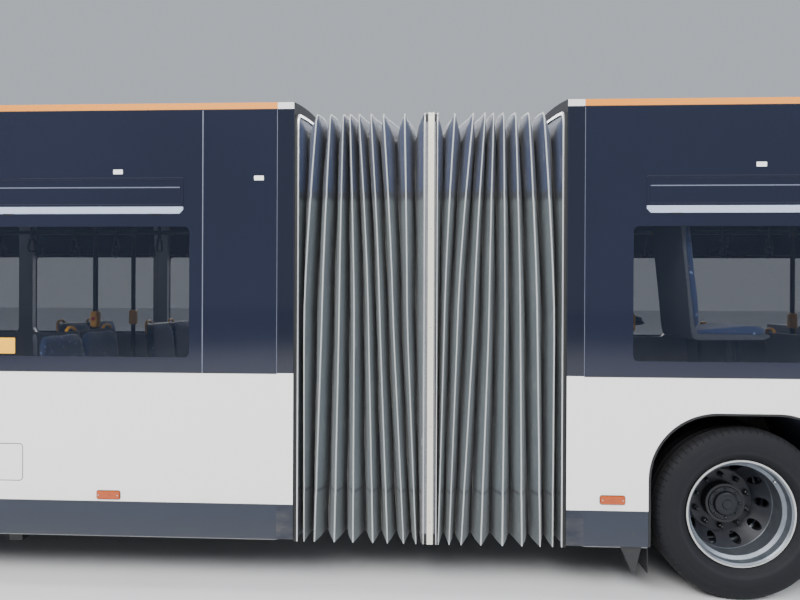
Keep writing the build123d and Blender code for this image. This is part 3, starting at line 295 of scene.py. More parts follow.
def make_portal_paint():
    def slate(p):
        return p.below(p.axis("Z"), SKIRT)

    def black(p):
        return p.within(p.axis("Z"), BELT, GLASS_TOP)

    def top(p):
        return p.both(outer(p), p.above(p.axis("Z"), GLASS_TOP))

    def inner(p):
        return p.both(inside_shell(p), p.below(p.axis("Z"), 2.76))

    def joint_faces(p):
        front = p.within(p.axis("X"), FRONT_FACE - 0.020, FRONT_FACE + 0.002)
        return p.either(front, p.within(p.axis("X"), REAR_FACE - 0.002, REAR_FACE + 0.020))

    return body_paint("portal_paint", [(slate, SLATE), (black, NIGHT), (top, srgb(206, 206, 204)),
                                       (inner, srgb(70, 72, 76)), (joint_faces, srgb(18, 22, 32))],
                      coat=0.0, polished=black, dull=joint_faces)


def make_skirt_paint():
    paint = Paint("skirt_paint", SLATE, 0.42, coat=0.2)
    z = paint.axis("Z")
    low = paint.below(z, 0.38, 0.10)
    streaks = paint.noise(9.0, 6.0, 0.7, (1, 1, 0.25))
    color = paint.mix(paint.noise(2.0, 3.0), SLATE, srgb(17, 28, 46))
    color = paint.tint(color, paint.both(low, streaks), 0.6, srgb(46, 47, 50))
    paint.set("Base Color", color)
    paint.set("Roughness", paint.blend(streaks, 0.34, 0.58))
    paint.bump(paint.noise(2.2, 1.0), 0.0014, 0.5)
    paint.bump(paint.noise(300.0, 2.0), 0.00006, 0.5)
    return paint.material


def make_glass(name, alpha, tint):
    paint = Paint(name, tint, 0.03, alpha=alpha)
    paint.set("Specular IOR Level", 0.45)
    paint.set("Base Color", paint.mix(paint.noise(0.7, 1.0), tint, tuple(c * 1.35 for c in tint)))
    paint.set("Roughness", paint.blend(paint.noise(14.0, 4.0), 0.02, 0.07))
    paint.bump(paint.noise(0.9, 1.0), 0.0035, 0.4)
    return paint.material


def make_frit():
    paint = Paint("glass_frit", NIGHT, 0.05)
    paint.set("Specular IOR Level", 0.45)
    paint.set("Base Color", paint.mix(paint.noise(0.6, 1.0), NIGHT, srgb(26, 30, 48)))
    paint.set("Roughness", paint.blend(paint.noise(11.0, 5.0), 0.03, 0.10))
    paint.bump(paint.noise(0.9, 1.0), 0.0035, 0.4)
    return paint.material


def make_bellows_cloth():
    """Coated cloth: fine weave, soft mottling, dark sewn creases, painted shade deep between the folds and
    painted bluish shade and reflection above the creases.
    """
    paint = Paint("bellows_cloth", srgb(86, 92, 94), 0.62)
    z = paint.axis("Z")
    color = paint.mix(paint.noise(3.0, 4.0, 0.6, (2, 2, 0.6)), srgb(60, 68, 74), srgb(88, 97, 101))
    # Painted shade with a bluish sky reflection on the cloth above the upper sewn crease
    color = paint.tint(color, paint.above(z, CREASE_TOP, 0.03), 0.72, srgb(24, 38, 78))
    color = paint.tint(color, paint.below(z, CREASE_FOOT, 0.05), 0.35, srgb(62, 64, 64))
    crease = paint.either(paint.within(z, 2.218, 2.262, 0.016), paint.within(z, 0.572, 0.588, 0.008))
    color = paint.tint(color, crease, 0.75, srgb(28, 32, 42))
    # Painted shade deep between the folds, by how far the cloth lies in from the hoop's side
    depth = paint.do("SUBTRACT", HOOP_SIDE, paint.size_of("Y"))
    valley_shade = paint.both(paint.within(depth, 0.078, 0.200, 0.030), paint.within(z, 0.30, 2.64, 0.03))
    color = paint.tint(color, valley_shade, 0.80, srgb(12, 14, 19))
    scuff = paint.above(paint.noise(14.0, 6.0, 0.7, (3, 1, 0.4)), 0.62, 0.1)
    color = paint.tint(color, scuff, 0.18, srgb(140, 144, 142))
    paint.set("Base Color", color)
    paint.set("Roughness", paint.blend(paint.noise(40.0, 3.0), 0.5, 0.75))
    paint.set("Sheen Weight", 0.15)
    paint.bump(paint.noise(9.0, 3.0, 0.5, (1, 1, 0.35)), 0.006, 0.6)
    paint.bump(paint.grains(900.0), 0.0004, 0.5)
    return paint.material


def make_tyre():
    """Tread rubber: cross grooves on the shoulders, fine rings and dust on the wall."""
    paint = Paint("tyre_rubber", srgb(22, 23, 25), 0.72)
    x, z = paint.axis("X"), paint.axis("Z")
    radius = paint.distance(x, z)
    angle = paint.do("ARCTAN2", z, x)
    blocks = paint.above(paint.zigzag(angle, 76 / (2 * math.pi)), 0.07, 0.03)
    shoulder = paint.both(paint.above(radius, 0.452, 0.003), paint.above(paint.size_of("Y"), 0.086, 0.002))
    cut = paint.both(shoulder, paint.flip(blocks))
    wall = paint.within(radius, 0.30, 0.44, 0.004)
    dust = paint.noise(26.0, 5.0, 0.65)
    color = paint.mix(dust, srgb(4, 6, 11), srgb(13, 15, 22))
    color = paint.tint(color, paint.within(radius, 0.335, 0.352, 0.003), 0.35, srgb(28, 29, 34))
    color = paint.tint(color, paint.above(radius, 0.472, 0.003), 0.45, srgb(36, 35, 35))
    color = paint.mix(cut, color, srgb(6, 6, 7))
    paint.set("Base Color", color)
    paint.set("Specular IOR Level", 0.3)
    paint.set("Roughness", paint.blend(dust, 0.62, 0.86))
    paint.bump(paint.flip(cut), 0.006, 0.9)
    rings = paint.zigzag(radius, 210.0)
    paint.bump(paint.both(rings, wall), 0.0011, 0.5)
    paint.bump(paint.noise(420.0, 2.0), 0.0003, 0.5)
    return paint.material


def make_rim(axle_x):
    """Silver lacquer on the well, a dark dusty disc and hub, told apart by the distance from the axle."""
    paint = Paint("rim_%d" % round(axle_x * 100), srgb(170, 172, 174), 0.35, 0.75)
    x = paint.do("SUBTRACT", paint.axis("X"), axle_x)
    z = paint.do("SUBTRACT", paint.axis("Z"), AXLE_Z)
    radius = paint.distance(x, z)
    dust = paint.noise(18.0, 6.0, 0.7)
    silver = paint.mix(dust, srgb(88, 95, 105), srgb(148, 155, 164))
    disc = paint.mix(dust, srgb(18, 22, 31), srgb(38, 42, 50))
    hub = paint.mix(dust, srgb(11, 13, 20), srgb(26, 29, 36))
    well = paint.above(radius, 0.254, 0.004)
    color = paint.mix(well, disc, silver)
    color = paint.mix(paint.above(radius, 0.1125, 0.001), hub, color)
    film = paint.above(paint.noise(6.0, 4.0, 0.6), 0.5, 0.3)
    color = paint.tint(color, film, 0.30, srgb(62, 58, 56))
    paint.set("Base Color", color)
    paint.set("Metallic", paint.blend(well, 0.35, 0.8))
    paint.set("Roughness", paint.blend(dust, 0.3, 0.6))
    paint.bump(paint.noise(300.0, 3.0), 0.00012, 0.6)
    return paint.material


def make_vinyl():
    """Bus floor: grey vinyl with light and dark flecks, black below."""
    paint = Paint("floor_vinyl", srgb(92, 95, 100), 0.5)
    flecks = paint.above(paint.grains(210.0), 0.24, 0.05)
    tone = paint.mix(paint.noise(4.0, 4.0), srgb(82, 86, 92), srgb(104, 107, 111))
    color = paint.mix(flecks, srgb(150, 152, 156), tone)
    under = paint.below(paint.axis("Z"), 0.357)
    under = paint.either(under, paint.within(paint.size_of("Y"), 0.5685, 0.5715, 0.0003))
    color = paint.mix(under, color, srgb(26, 27, 28))
    paint.set("Base Color", color)
    paint.set("Roughness", paint.blend(paint.noise(12.0, 5.0), 0.4, 0.65))
    paint.bump(paint.grains(420.0), 0.0005, 0.5)
    return paint.material


def make_seat_cloth():
    """Flat-woven moquette: blue ground with small lighter and orange figures."""
    paint = Paint("seat_cloth", srgb(36, 52, 92), 0.92)
    weave = paint.noise(320.0, 2.0)
    color = paint.mix(weave, srgb(26, 38, 74), srgb(48, 66, 110))
    figures = paint.below(paint.grains(24.0, (1, 1.4, 1)), 0.17, 0.015)
    color = paint.mix(figures, color, srgb(120, 140, 176))
    dots = paint.below(paint.grains(38.0, (1.3, 1, 1.1)), 0.10, 0.012)
    color = paint.mix(dots, color, srgb(212, 132, 60))
    paint.set("Base Color", color)
    paint.set("Sheen Weight", 0.4)
    paint.bump(paint.noise(600.0, 2.0), 0.0006, 0.7)
    paint.bump(paint.noise(6.0, 3.0), 0.006, 0.4)
    return paint.material


def make_chassis():
    """Black underbody coating, stone-chipped and dusty."""
    paint = Paint("chassis_coat", srgb(30, 31, 32), 0.7)
    dust = paint.noise(7.0, 6.0, 0.7)
    color = paint.mix(dust, srgb(22, 23, 24), srgb(56, 54, 50))
    chips = paint.above(paint.noise(60.0, 4.0, 0.7), 0.66, 0.03)
    color = paint.tint(color, chips, 0.5, srgb(104, 90, 74))
    paint.set("Base Color", color)
    paint.set("Roughness", paint.blend(dust, 0.55, 0.85))
    paint.bump(paint.noise(120.0, 4.0), 0.0006, 0.7)
    return paint.material


def make_lens(name, color, alpha=1.0):
    """A moulded lamp lens with fine prisms."""
    paint = Paint(name, color, 0.08, coat=0.3, alpha=alpha)
    lighter = tuple(min(c * 1.3, 1) for c in color)
    paint.set("Base Color", paint.mix(paint.noise(60.0, 2.0), color, lighter))
    cells = paint.zigzag(paint.axis("X"), 160.0)
    rows = paint.zigzag(paint.axis("Z"), 160.0)
    across = paint.zigzag(paint.axis("Y"), 160.0)
    paint.bump(paint.either(paint.either(cells, rows), across), 0.0006, 0.6)
    paint.set("Roughness", paint.blend(paint.noise(40.0, 2.0), 0.05, 0.14))
    return paint.material


def make_tail_lens():
    """A dark red cover whose four lamps show as rounder, brighter fields."""
    paint = Paint("tail_lens", srgb(96, 10, 12), 0.08, coat=0.8)
    across = paint.do("SUBTRACT", paint.size_of("Y"), 1.085)
    color = srgb(74, 10, 12)
    orange, red, white = srgb(214, 104, 26), srgb(178, 18, 18), srgb(206, 206, 206)
    for z, shade in zip(TAIL_LAMPS, (orange, red, red, white)):
        up = paint.do("SUBTRACT", paint.axis("Z"), z)
        radius = paint.distance(across, up)
        color = paint.mix(paint.below(radius, 0.046, 0.001), color, shade)
    paint.set("Base Color", color)
    rings = paint.zigzag(paint.axis("Z"), 200.0)
    paint.bump(rings, 0.0005, 0.5)
    paint.set("Roughness", paint.blend(paint.noise(30.0, 2.0), 0.05, 0.12))
    return paint.material


M = {
    "wall": make_wall_paint(),
    "roof": make_roof_paint(),
    "nose": make_end_paint("nose_paint", SKIRT, 1.105),
    "tail": make_end_paint("tail_paint", SKIRT, 1.68),
    "portal": make_portal_paint(),
    "skirt": make_skirt_paint(),
    "clear": make_glass("window_glass", 0.30, srgb(20, 26, 38)),
    "pane": make_glass("windscreen_glass", 0.30, srgb(24, 30, 38)),
    "frit": make_frit(),
    "cloth": make_bellows_cloth(),
    "piping": plain("bellows_piping", srgb(166, 170, 170), 0.5, grain=0.0002),
    "rubber": plain("seal_rubber", srgb(14, 15, 18), 0.62, grain=0.0003, scale=350.0, spread=0.1, tone=0.12),
    "tyre": make_tyre(),
    "vinyl": make_vinyl(),
    "seat": make_seat_cloth(),
    "shell": plain("seat_shell", srgb(74, 78, 86), 0.45, grain=0.0003, scale=260.0),
    "chassis": make_chassis(),
    "liner": plain("arch_liner", srgb(44, 50, 64), 0.75, grain=0.0004, scale=180.0, tone=0.2),
    "aluminium": plain("anodised_aluminium", srgb(200, 201, 203), 0.34, 0.85, grain=0.00008),
    "beige": plain("frame_strip", srgb(218, 212, 198), 0.42, 0.25, grain=0.0001),
    "steel": plain("bright_steel", srgb(190, 190, 188), 0.22, 0.95, grain=0.00006),
    "dark_steel": plain("dark_steel", srgb(36, 38, 42), 0.42, 0.6),
    "black": plain("black_plastic", srgb(28, 29, 31), 0.5, grain=0.0003, scale=320.0),
    "gloss": plain("gloss_black", srgb(14, 15, 18), 0.12, coat=0.6, grain=0.00003),
    "seam": plain("seam_line", srgb(44, 46, 50), 0.7),
    "seam_light": plain("seam_light", srgb(92, 98, 116), 0.4),
    "panel": plain("lining_panel", srgb(176, 178, 180), 0.55, grain=0.0002, scale=300.0),
    "dash": plain("dash_plastic", srgb(52, 54, 58), 0.6, grain=0.0005, scale=240.0),
    "yellow": plain("sign_yellow", srgb(238, 176, 38), 0.4, grain=0.0001),
    "white": plain("sticker_white", srgb(232, 232, 230), 0.5),
    "white_paint": body_paint("trim_white", []),
    "strip": plain("hopper_strip", srgb(168, 180, 204), 0.25, 0.1, grain=0.00004),
    "orange_lens": make_lens("orange_lens", srgb(146, 58, 0)),
    "red_lens": make_lens("red_lens", srgb(168, 22, 20)),
    "clear_lens": make_lens("clear_lens", srgb(190, 198, 206), 0.14),
    "door_glass": make_glass("door_glass", 0.42, srgb(18, 22, 30)),
    "lamp_glass": plain("lamp_glass", srgb(150, 160, 172), 0.05, coat=0.9, grain=0.00002, spread=0.02),
    "tail_lens": make_tail_lens(),
    "amber": plain("sign_matrix", srgb(64, 48, 22), 0.35, grain=0.0001),
    "mirror": plain("mirror_glass", srgb(200, 206, 212), 0.04, 1.0, grain=0.00001, spread=0.02),
}
for number, axle_x in enumerate(AXLES, 1):
    M["rim_%d" % number] = make_rim(axle_x)


# Geometry
class Place:
    """A flat working plane: u and v along it, w out of it."""

    def __init__(self, origin, u, v):
        self.origin = Vector(origin)
        self.u = Vector(u).normalized()
        self.v = Vector(v).normalized()
        self.w = self.u.cross(self.v)

    def at(self, u, v, w=0.0):
        return self.origin + self.u * u + self.v * v + self.w * w


RIGHT_SIDE = Place((0, -HALF, 0), (1, 0, 0), (0, 0, 1))
LEFT_SIDE = Place((0, HALF, 0), (-1, 0, 0), (0, 0, 1))
FRONT = Place((0, 0, 0), (0, 1, 0), (0, 0, 1))
BACK = Place((0, 0, 0), (0, -1, 0), (0, 0, 1))


def side_place(side):
    return RIGHT_SIDE if side < 0 else LEFT_SIDE


def along(side, x):
    """A station along the bus as the u of that side's plane."""
    return x if side < 0 else -x


def span(side, a, b):
    """Two stations as u of that side's plane, the lower one first."""
    return sorted((along(side, a), along(side, b)))


def angles(count, shift=0.0):
    """Even angles round a circle, turned on by a share of their spacing."""
    return [2 * math.pi * (i + shift) / count for i in range(count)]


def ring(u0, v0, u1, v1, r, steps=5):
    """A rounded rectangle, anticlockwise, always with the same number of points for one steps."""
    u0, u1 = min(u0, u1), max(u0, u1)
    v0, v1 = min(v0, v1), max(v0, v1)
    r = max(min(r, (u1 - u0) / 2 - 1e-5, (v1 - v0) / 2 - 1e-5), 1e-5)
    out = []
    centres = ((u1 - r, v0 + r), (u1 - r, v1 - r), (u0 + r, v1 - r), (u0 + r, v0 + r))
    for quarter, (cu, cv) in enumerate(centres):
        for i in range(steps + 1):
            a = math.radians(90 * quarter - 90 + 90 * i / steps)
            out.append((cu + r * math.cos(a), cv + r * math.sin(a)))
    return out


def inset(outline, d):
    """An anticlockwise outline moved inwards by d."""
    out = []
    n = len(outline)
    for i in range(n):
        a, b, c = (Vector(outline[k % n]) for k in (i - 1, i, i + 1))
        e1, e2 = (b - a), (c - b)
        if e1.length < 1e-9 or e2.length < 1e-9:
            out.append(tuple(b))
            continue
        n1 = Vector((-e1.y, e1.x)).normalized()
        n2 = Vector((-e2.y, e2.x)).normalized()
        m = n1 + n2
        m = m / max(m.dot(n1), 0.3) if m.length > 1e-6 else n1
        out.append((b.x + m.x * d, b.y + m.y * d))
    return out


def smooth(mesh, angle=30.0):
    """Rounded shading, with edges kept sharp where the faces meet at more than the angle."""
    mesh.shade_smooth()
    mesh.set_sharp_from_angle(angle=math.radians(angle))


def add_object(name, data):
    made = bpy.data.objects.new(name, data)
    scene.collection.objects.link(made)
    return made


def raised(place, *lines):
    """Loops on a plane or a skin, from pairs of an outline and its height."""
    return [[place.at(u, v, w) for u, v in outline] for outline, w in lines]


class Form:
    """Faces gathered from simple shapes and made into one mesh."""

    def __init__(self, *materials):
        self.materials = list(materials)
        self.points = []
        self.faces = []
        self.kinds = []

    def kind(self, material):
        if isinstance(material, int):
            return material
        if material not in self.materials:
            self.materials.append(material)
        return self.materials.index(material)

    def loft(self, loops, material=0, start=None, end=None, closed=True, ends_meet=False):
        """Loops of equal length joined in order, closed by a face where an end's material is given."""
        base = len(self.points)
        n = len(loops[0])
        for loop in loops:
            self.points.extend(tuple(p) for p in loop)
        strips = [(j, j + 1) for j in range(len(loops) - 1)]
        if ends_meet:
            strips.append((len(loops) - 1, 0))
        kind = self.kind(material)
        for a, b in strips:
            for i in range(n if closed else n - 1):
                k = (i + 1) % n
                self.faces.append((base + a * n + i, base + a * n + k, base + b * n + k, base + b * n + i))
                self.kinds.append(kind)
        if start is not None:
            self.faces.append(tuple(base + i for i in reversed(range(n))))
            self.kinds.append(self.kind(start))
        if end is not None:
            top = base + (len(loops) - 1) * n
            self.faces.append(tuple(top + i for i in range(n)))
            self.kinds.append(self.kind(end))
        return self

    def solid(self, loops, material):
        return self.loft(loops, material, start=material, end=material)

    def plate(self, place, outline, w0, w1, material, bevel=0.0015):
        """A plate standing on a plane, its outer edge bevelled."""
        loops = raised(place, (outline, w0), (outline, w1 - bevel), (inset(outline, bevel), w1))
        return self.solid(loops, material)

    def band(self, place, outside, hole, w0, w1, material, bevel=0.0008):
        """A flat ring between two outlines of equal count."""
        loops = raised(place, (outside, w0), (outside, w1 - bevel), (inset(outside, bevel), w1),
                       (inset(hole, -bevel), w1), (hole, w1 - bevel), (hole, w0))
        return self.loft(loops, material, ends_meet=True)

    def box(self, low, high, material, bevel=0.002, corner=0.0, steps=3):
        """A box with bevelled edges, its upright corners rounded if corner is given."""
        x0, y0, z0 = (min(a, b) for a, b in zip(low, high))
        x1, y1, z1 = (max(a, b) for a, b in zip(low, high))
        bevel = min(bevel, (x1 - x0) / 3, (y1 - y0) / 3, (z1 - z0) / 3)
        full = ring(x0, y0, x1, y1, max(corner, bevel), steps)
        rim = inset(full, bevel * 0.99 if corner > bevel else bevel * 0.7)
        loops = [[(u, v, z0) for u, v in rim], [(u, v, z0 + bevel) for u, v in full],
                 [(u, v, z1 - bevel) for u, v in full], [(u, v, z1) for u, v in rim]]
        return self.solid(loops, material)

    def slab(self, place, u0, v0, u1, v1, w0, w1, material, corner=0.004, bevel=0.0015):
        return self.plate(place, ring(u0, v0, u1, v1, corner, 3), w0, w1, material, bevel)

    def lathe(self, origin, axis, profile, material, count=48, ends_meet=False):
        """A profile of (along, radius) turned about an axis."""
        axis = Vector(axis).normalized()
        side = axis.orthogonal().normalized()
        other = axis.cross(side)
        loops = []
        for distance, radius in profile:
            centre = Vector(origin) + axis * distance
            loops.append([centre + (side * math.cos(a) + other * math.sin(a)) * radius
                          for a in angles(count)])
        return self.loft(loops, material, ends_meet=ends_meet)

    def tube(self, path, radius, material, sides=10, flat=1.0, loop=False):
        """A round bar along a path; flat squeezes it in its second direction."""
        path = [Vector(p) for p in path]
        n = len(path)
        ways = []
        for i in range(n):
            a = path[(i - 1) % n] if loop or i > 0 else path[i]
            b = path[(i + 1) % n] if loop or i < n - 1 else path[i]
            ways.append((b - a).normalized())
        side = ways[0].orthogonal().normalized()
        loops = []
        for i in range(n):
            side = (side - ways[i] * side.dot(ways[i])).normalized()
            other = ways[i].cross(side)
            loops.append([path[i] + side * (radius * math.cos(a)) + other * (radius * flat * math.sin(a))
                          for a in angles(sides)])
        end = None if loop else material
        return self.loft(loops, material, start=end, end=end, ends_meet=loop)

    def mesh(self, name, angle=32.0, weld=True):
        made = bpy.data.meshes.new(name)
        made.from_pydata(self.points, [], self.faces)
        for material in self.materials:
            made.materials.append(M[material])
        made.polygons.foreach_set("material_index", self.kinds)
        if weld:
            bm = bmesh.new()
            bm.from_mesh(made)
            bmesh.ops.remove_doubles(bm, verts=bm.verts, dist=2e-6)
            bmesh.ops.recalc_face_normals(bm, faces=bm.faces)
            bm.to_mesh(made)
            bm.free()
        smooth(made, angle)
        return made

    def make(self, name, body, angle=32.0, weld=True):
        made = add_object(name, self.mesh(name, angle, weld))
        if body:
            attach(made, body)
        return made


def fillet_path(points, radius, steps=5):
    """A path whose corners are rounded."""
    points = [Vector(p) for p in points]
    out = [points[0]]
    for a, b, c in zip(points, points[1:], points[2:]):
        r = min(radius, (a - b).length * 0.45, (c - b).length * 0.45)
        p, q = b + (a - b).normalized() * r, b + (c - b).normalized() * r
        for i in range(steps + 1):
            t = i / steps
            out.append(p * (1 - t) ** 2 + b * (2 * t * (1 - t)) + q * t ** 2)
    out.append(points[-1])
    return out


def solids_of(node):
    """The separate solids of a CAD node, each as (low corner, high corner, points, faces)."""
    source = NODES[node].data
    bm = bmesh.new()
    bm.from_mesh(source)
    bmesh.ops.remove_doubles(bm, verts=bm.verts, dist=1e-5)
    bm.verts.index_update()
    bm.faces.index_update()
    seen = set()
    found = []
    for vert in bm.verts:
        if vert.index in seen:
            continue
        group = []
        todo = [vert]
        seen.add(vert.index)
        while todo:
            here = todo.pop()
            group.append(here)
            for edge in here.link_edges:
                there = edge.other_vert(here)
                if there.index not in seen:
                    seen.add(there.index)
                    todo.append(there)
        order = {v.index: i for i, v in enumerate(group)}
        faces = sorted({f for v in group for f in v.link_faces}, key=lambda face: face.index)
        points = [v.co.copy() for v in group]
        low = Vector(min(p[i] for p in points) for i in range(3))
        high = Vector(max(p[i] for p in points) for i in range(3))
        found.append((low, high, points, [[order[v.index] for v in f.verts] for f in faces]))
    bm.free()
    return found


def copy_solid(solid, name, material, body):
    """One solid of a CAD node as a piece of its own."""
    form = Form(material)
    form.points, form.faces = solid[2:]
    form.kinds = [0] * len(form.faces)
    form.make(name, body, angle=30, weld=False)


def coat(material, *nodes):
    for node in nodes:
        data = NODES[node].data
        data.materials.clear()
        data.materials.append(M[material])
        smooth(data)


# Camera, from the photo's own vanishing lines and the wheel's size
YAW, PITCH, ROLL = -0.0446, -0.0018, 0.0043
forward = Vector((math.sin(YAW) * math.cos(PITCH), math.cos(YAW) * math.cos(PITCH), math.sin(PITCH)))
right = Vector((math.cos(YAW), -math.sin(YAW), 0))
upward = right.cross(forward)
turned_right = right * math.cos(ROLL) + upward * math.sin(ROLL)
turned_up = upward * math.cos(ROLL) - right * math.sin(ROLL)
camera_data = bpy.data.cameras.new("camera")
camera_data.sensor_width = 36
camera_data.lens = 27
camera = add_object("camera", camera_data)
turn = Matrix((turned_right, turned_up, -forward)).transposed()
camera.matrix_world = Matrix.Translation((-0.5622, -4.6009, 1.6594)) @ turn.to_4x4()
scene.camera = camera


# Studio: a pale floor and soft lights on every side
def make_floor():
    paint = Paint("studio_floor", srgb(205, 206, 208), 0.6)
    paint.set("Base Color", paint.mix(paint.noise(0.35, 4.0), srgb(198, 199, 202), srgb(212, 213, 214)))
    paint.set("Roughness", paint.blend(paint.noise(3.0, 5.0), 0.5, 0.7))
    paint.bump(paint.noise(60.0, 3.0), 0.0008, 0.5)
    M["studio_floor"] = paint.material
    form = Form("studio_floor")
    form.faces.append((0, 1, 2, 3))
    form.kinds.append(0)
    form.points = [(-90, -90, 0), (90, -90, 0), (90, 90, 0), (-90, 90, 0)]
    floor = add_object("studio_floor", form.mesh("studio_floor", weld=False))


def add_light(name, place, target, size, power, color=(1, 1, 1)):
    data = bpy.data.lights.new(name, "AREA")
    data.shape = "RECTANGLE"
    data.size, data.size_y = size
    data.energy = power
    data.color = color
    lamp = add_object(name, data)
    lamp.location = place
    lamp.rotation_euler = (Vector(target) - Vector(place)).to_track_quat("-Z", "Y").to_euler()
    lamp.visible_camera = False


make_floor()
add_light("key", (-7, -13, 12), (0, 0, 1.2), (14, 6), 5200, (1.0, 0.98, 0.95))
add_light("fill_right", (10, -12, 11), (0, 0, 1.2), (10, 6), 2400, (0.94, 0.97, 1.0))
add_light("over", (0, 0, 13), (0, 0, 0), (22, 8), 2000)
add_light("left", (0, 14, 8), (0, 0, 1.2), (20, 7), 2600, (0.97, 0.98, 1.0))
add_light("front", (20, 2, 6), (8, 0, 1.4), (7, 6), 1200)
add_light("back", (-20, -2, 6), (-8, 0, 1.4), (7, 6), 1200)
world = bpy.data.worlds.new("studio")
world.use_nodes = True
world.node_tree.nodes["Background"].inputs["Color"].default_value = (0.78, 0.83, 0.90, 1)
world.node_tree.nodes["Background"].inputs["Strength"].default_value = 0.62
scene.world = world


# Finishes of the CAD pieces that stay in view
SECTIONS = {"front": "front_section", "rear": "rear_section"}
for end in SECTIONS:
    coat("wall", end + "_left_wall", end + "_right_wall")
    coat("roof", end + "_roof")
    coat("skirt", end + "_skirts")
    coat("portal", end + "_portal")
    coat("vinyl", end + "_floor")
    coat("dark_steel", end + "_handrails")
    coat("white_paint", end + "_roof_unit")
coat("nose", "front_end")
coat("tail", "rear_end", "engine_hatch")
coat("chassis", "front_axles", "rear_axle", "knuckle_left", "knuckle_right", "engine")
coat("vinyl", "middle_frame")
coat("black", "mirrors", "wipers")
coat("dash", "driver_station")
for number in (1, 2, 3):
    for name in ("left", "right"):
        coat("rim_%d" % number, "wheel_%d_%s_rim%s" % (number, name, "" if number == 1 else "s"))
    for name in ("rear", "front"):
        coat("dark_steel", "door_%d_%s_arm" % (number, name))


# Bellows: folds read off the photo as shares of each half, at the foot, the middle and the top
REAR_FOLDS = [(.077, .070, .165), (.159, .211, .273), (.317, .347, .374), (.463, .466, .426),
              (.619, .578, .496), (.733, .667, .590), (.859, .771, .687), (.955, .881, .855)]
FRONT_FOLDS = [(.030, .071, .145), (.115, .174, .290), (.209, .299, .380), (.361, .416, .445),
               (.526, .540, .521), (.676, .657, .613), (.816, .787, .715), (.911, .917, .830)]
FOLD_LEVELS = (0.32, 1.54, 2.69)
FOLD_DEPTH = 0.125
HOOP_FOOT = 0.298
HOOP_TOP = 2.700
HOOP_CORNER = 0.045
HOOP_CROWN = 2.822
BINDING_REACH = 0.30
STRIP_X = -0.5405
# The cloth between two folds, as (share of the way, share of the depth)
FOLD_PROFILE = [(0.0, 0.0), (0.10, 0.13), (0.26, 0.45), (0.40, 0.80), (0.47, 0.96), (0.5, 1.0), (0.53, 0.96),
                (0.60, 0.80), (0.74, 0.45), (0.90, 0.13)]


def hoop_line(depth):
    """Points (y, z) of a hoop from its right foot over the roof to its left foot, set in by depth."""
    side = HOOP_SIDE - depth
    top = HOOP_TOP - depth
    crown = HOOP_CROWN - depth
    foot = HOOP_FOOT + depth * 0.22
    levels = [0, .02, .06, .105, .115, .125, .16, .23, .31, .39, .47, .55, .63, .70, .76, .795, .805, .8125,
              .82, .84, .88, .92, .955, .98]
    half = [(side, foot + (top - HOOP_CORNER - foot) * f / 0.98) for f in levels]
    for i in range(1, 5):
        a = math.pi / 2 * i / 4
        half.append((side - HOOP_CORNER * (1 - math.cos(a)), top - HOOP_CORNER * (1 - math.sin(a))))
    across = side - HOOP_CORNER
    for share in (.92, .8, .64, .46, .28, .1):
        half.append((across * share, top + (crown - top) * (1 - share ** 2)))
    return [(-y, z) for y, z in half] + [(y, z) for y, z in reversed(half)]


def fold_share(fold, z):
    """Where a fold lies at a height, as a share of the half's length."""
    foot, middle, top = fold
    low, mid, high = FOLD_LEVELS
    if z < mid:
        return foot + (middle - foot) * ((z - low) / (mid - low))
    return middle + (top - middle) * min((z - mid) / (high - mid), 1.0) ** 1.35


def fold_binding(form, before, ridge, after):
    """A slim pale profile clamped over a fold's ridge."""
    forwards = Vector((1, 0, 0))
    sections = []
    for a, b, c in zip(before, ridge, after):
        a, b, c = Vector(a), Vector(b), Vector(c)
        out = (b - (a + c) / 2).normalized()
        ends = []
        for other, way in ((a, -forwards), (c, forwards)):
            flank = b + (other - b) * BINDING_REACH
            slope = (flank - b).normalized()
            ends.append((flank, (way - slope * way.dot(slope)).normalized()))
        (a, left), (c, right) = ends
        sections.append([a + left * 0.0016, b + left * 0.0024 + out * 0.0010, b + out * 0.0032,
                         b + right * 0.0024 + out * 0.0010, c + right * 0.0016, c - right * 0.0012,
                         b - out * 0.0060, a - left * 0.0012])
    form.solid(sections, 0)


def fold_steps(folds):
    """Stations (fold before, fold after, share between, depth), and each fold's place at even spacing."""
    ends = [(0.0,) * 3] + folds + [(1.0,) * 3]
    steps = [(a, b, mix, depth) for a, b in zip(ends, ends[1:]) for mix, depth in FOLD_PROFILE]
    even = [0.0] + [(i + 0.75) / (len(folds) + 0.5) for i in range(len(folds))] + [1.0]
    return steps + [(ends[-1], ends[-1], 0.0, 0.0)], dict(zip(ends, even))


def bellows_lines(folds, x0, length):
    """The cloth as lines from foot to foot; over the roof the folds pass into an even spacing."""
    steps, even_of = fold_steps(folds)
    loops = []
    for index, (a, b, mix, depth) in enumerate(steps):
        gap = max(abs(b[1] - a[1]), 0.02) * length
        loop = []
        for y, z in hoop_line(min(FOLD_DEPTH, 0.03 + gap * 1.5) * depth):
            over = min(max((HOOP_SIDE - 0.25 - abs(y)) / 0.5, 0.0), 1.0)
            at_a, at_b = (fold_share(fold, z) * (1 - over) + even_of[fold] * over for fold in (a, b))
            share = at_a + (at_b - at_a) * mix
            sag = 0.004 * math.sin(z * 9.0 + index * 1.7) * depth
            sewn = min(abs(z - CREASE_TOP), abs(z - CREASE_FOOT)) < 0.02 and abs(y) >= HOOP_SIDE - 0.2
            nip = math.copysign(0.007, y) * (1 - depth) if sewn else 0.0
            loop.append((x0 + share * length + sag, y - nip, z))
        loops.append(loop)
    return loops


def make_bellows(name, node, folds, x0, x1):
    loops = bellows_lines(folds, x0, x1 - x0)
    form = Form("cloth")
    form.loft(loops, 0, closed=False)
    cloth = form.make(name, None, angle=70, weld=False)
    trim = Form("piping")
    for k in range(1, len(folds) + 1):
        ridge = k * len(FOLD_PROFILE)
        fold_binding(trim, *loops[ridge - 1:ridge + 2])
    piping = trim.make(name + "_piping", None, angle=50)
    for piece in (cloth, piping):
        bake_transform(piece)
    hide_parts(node)


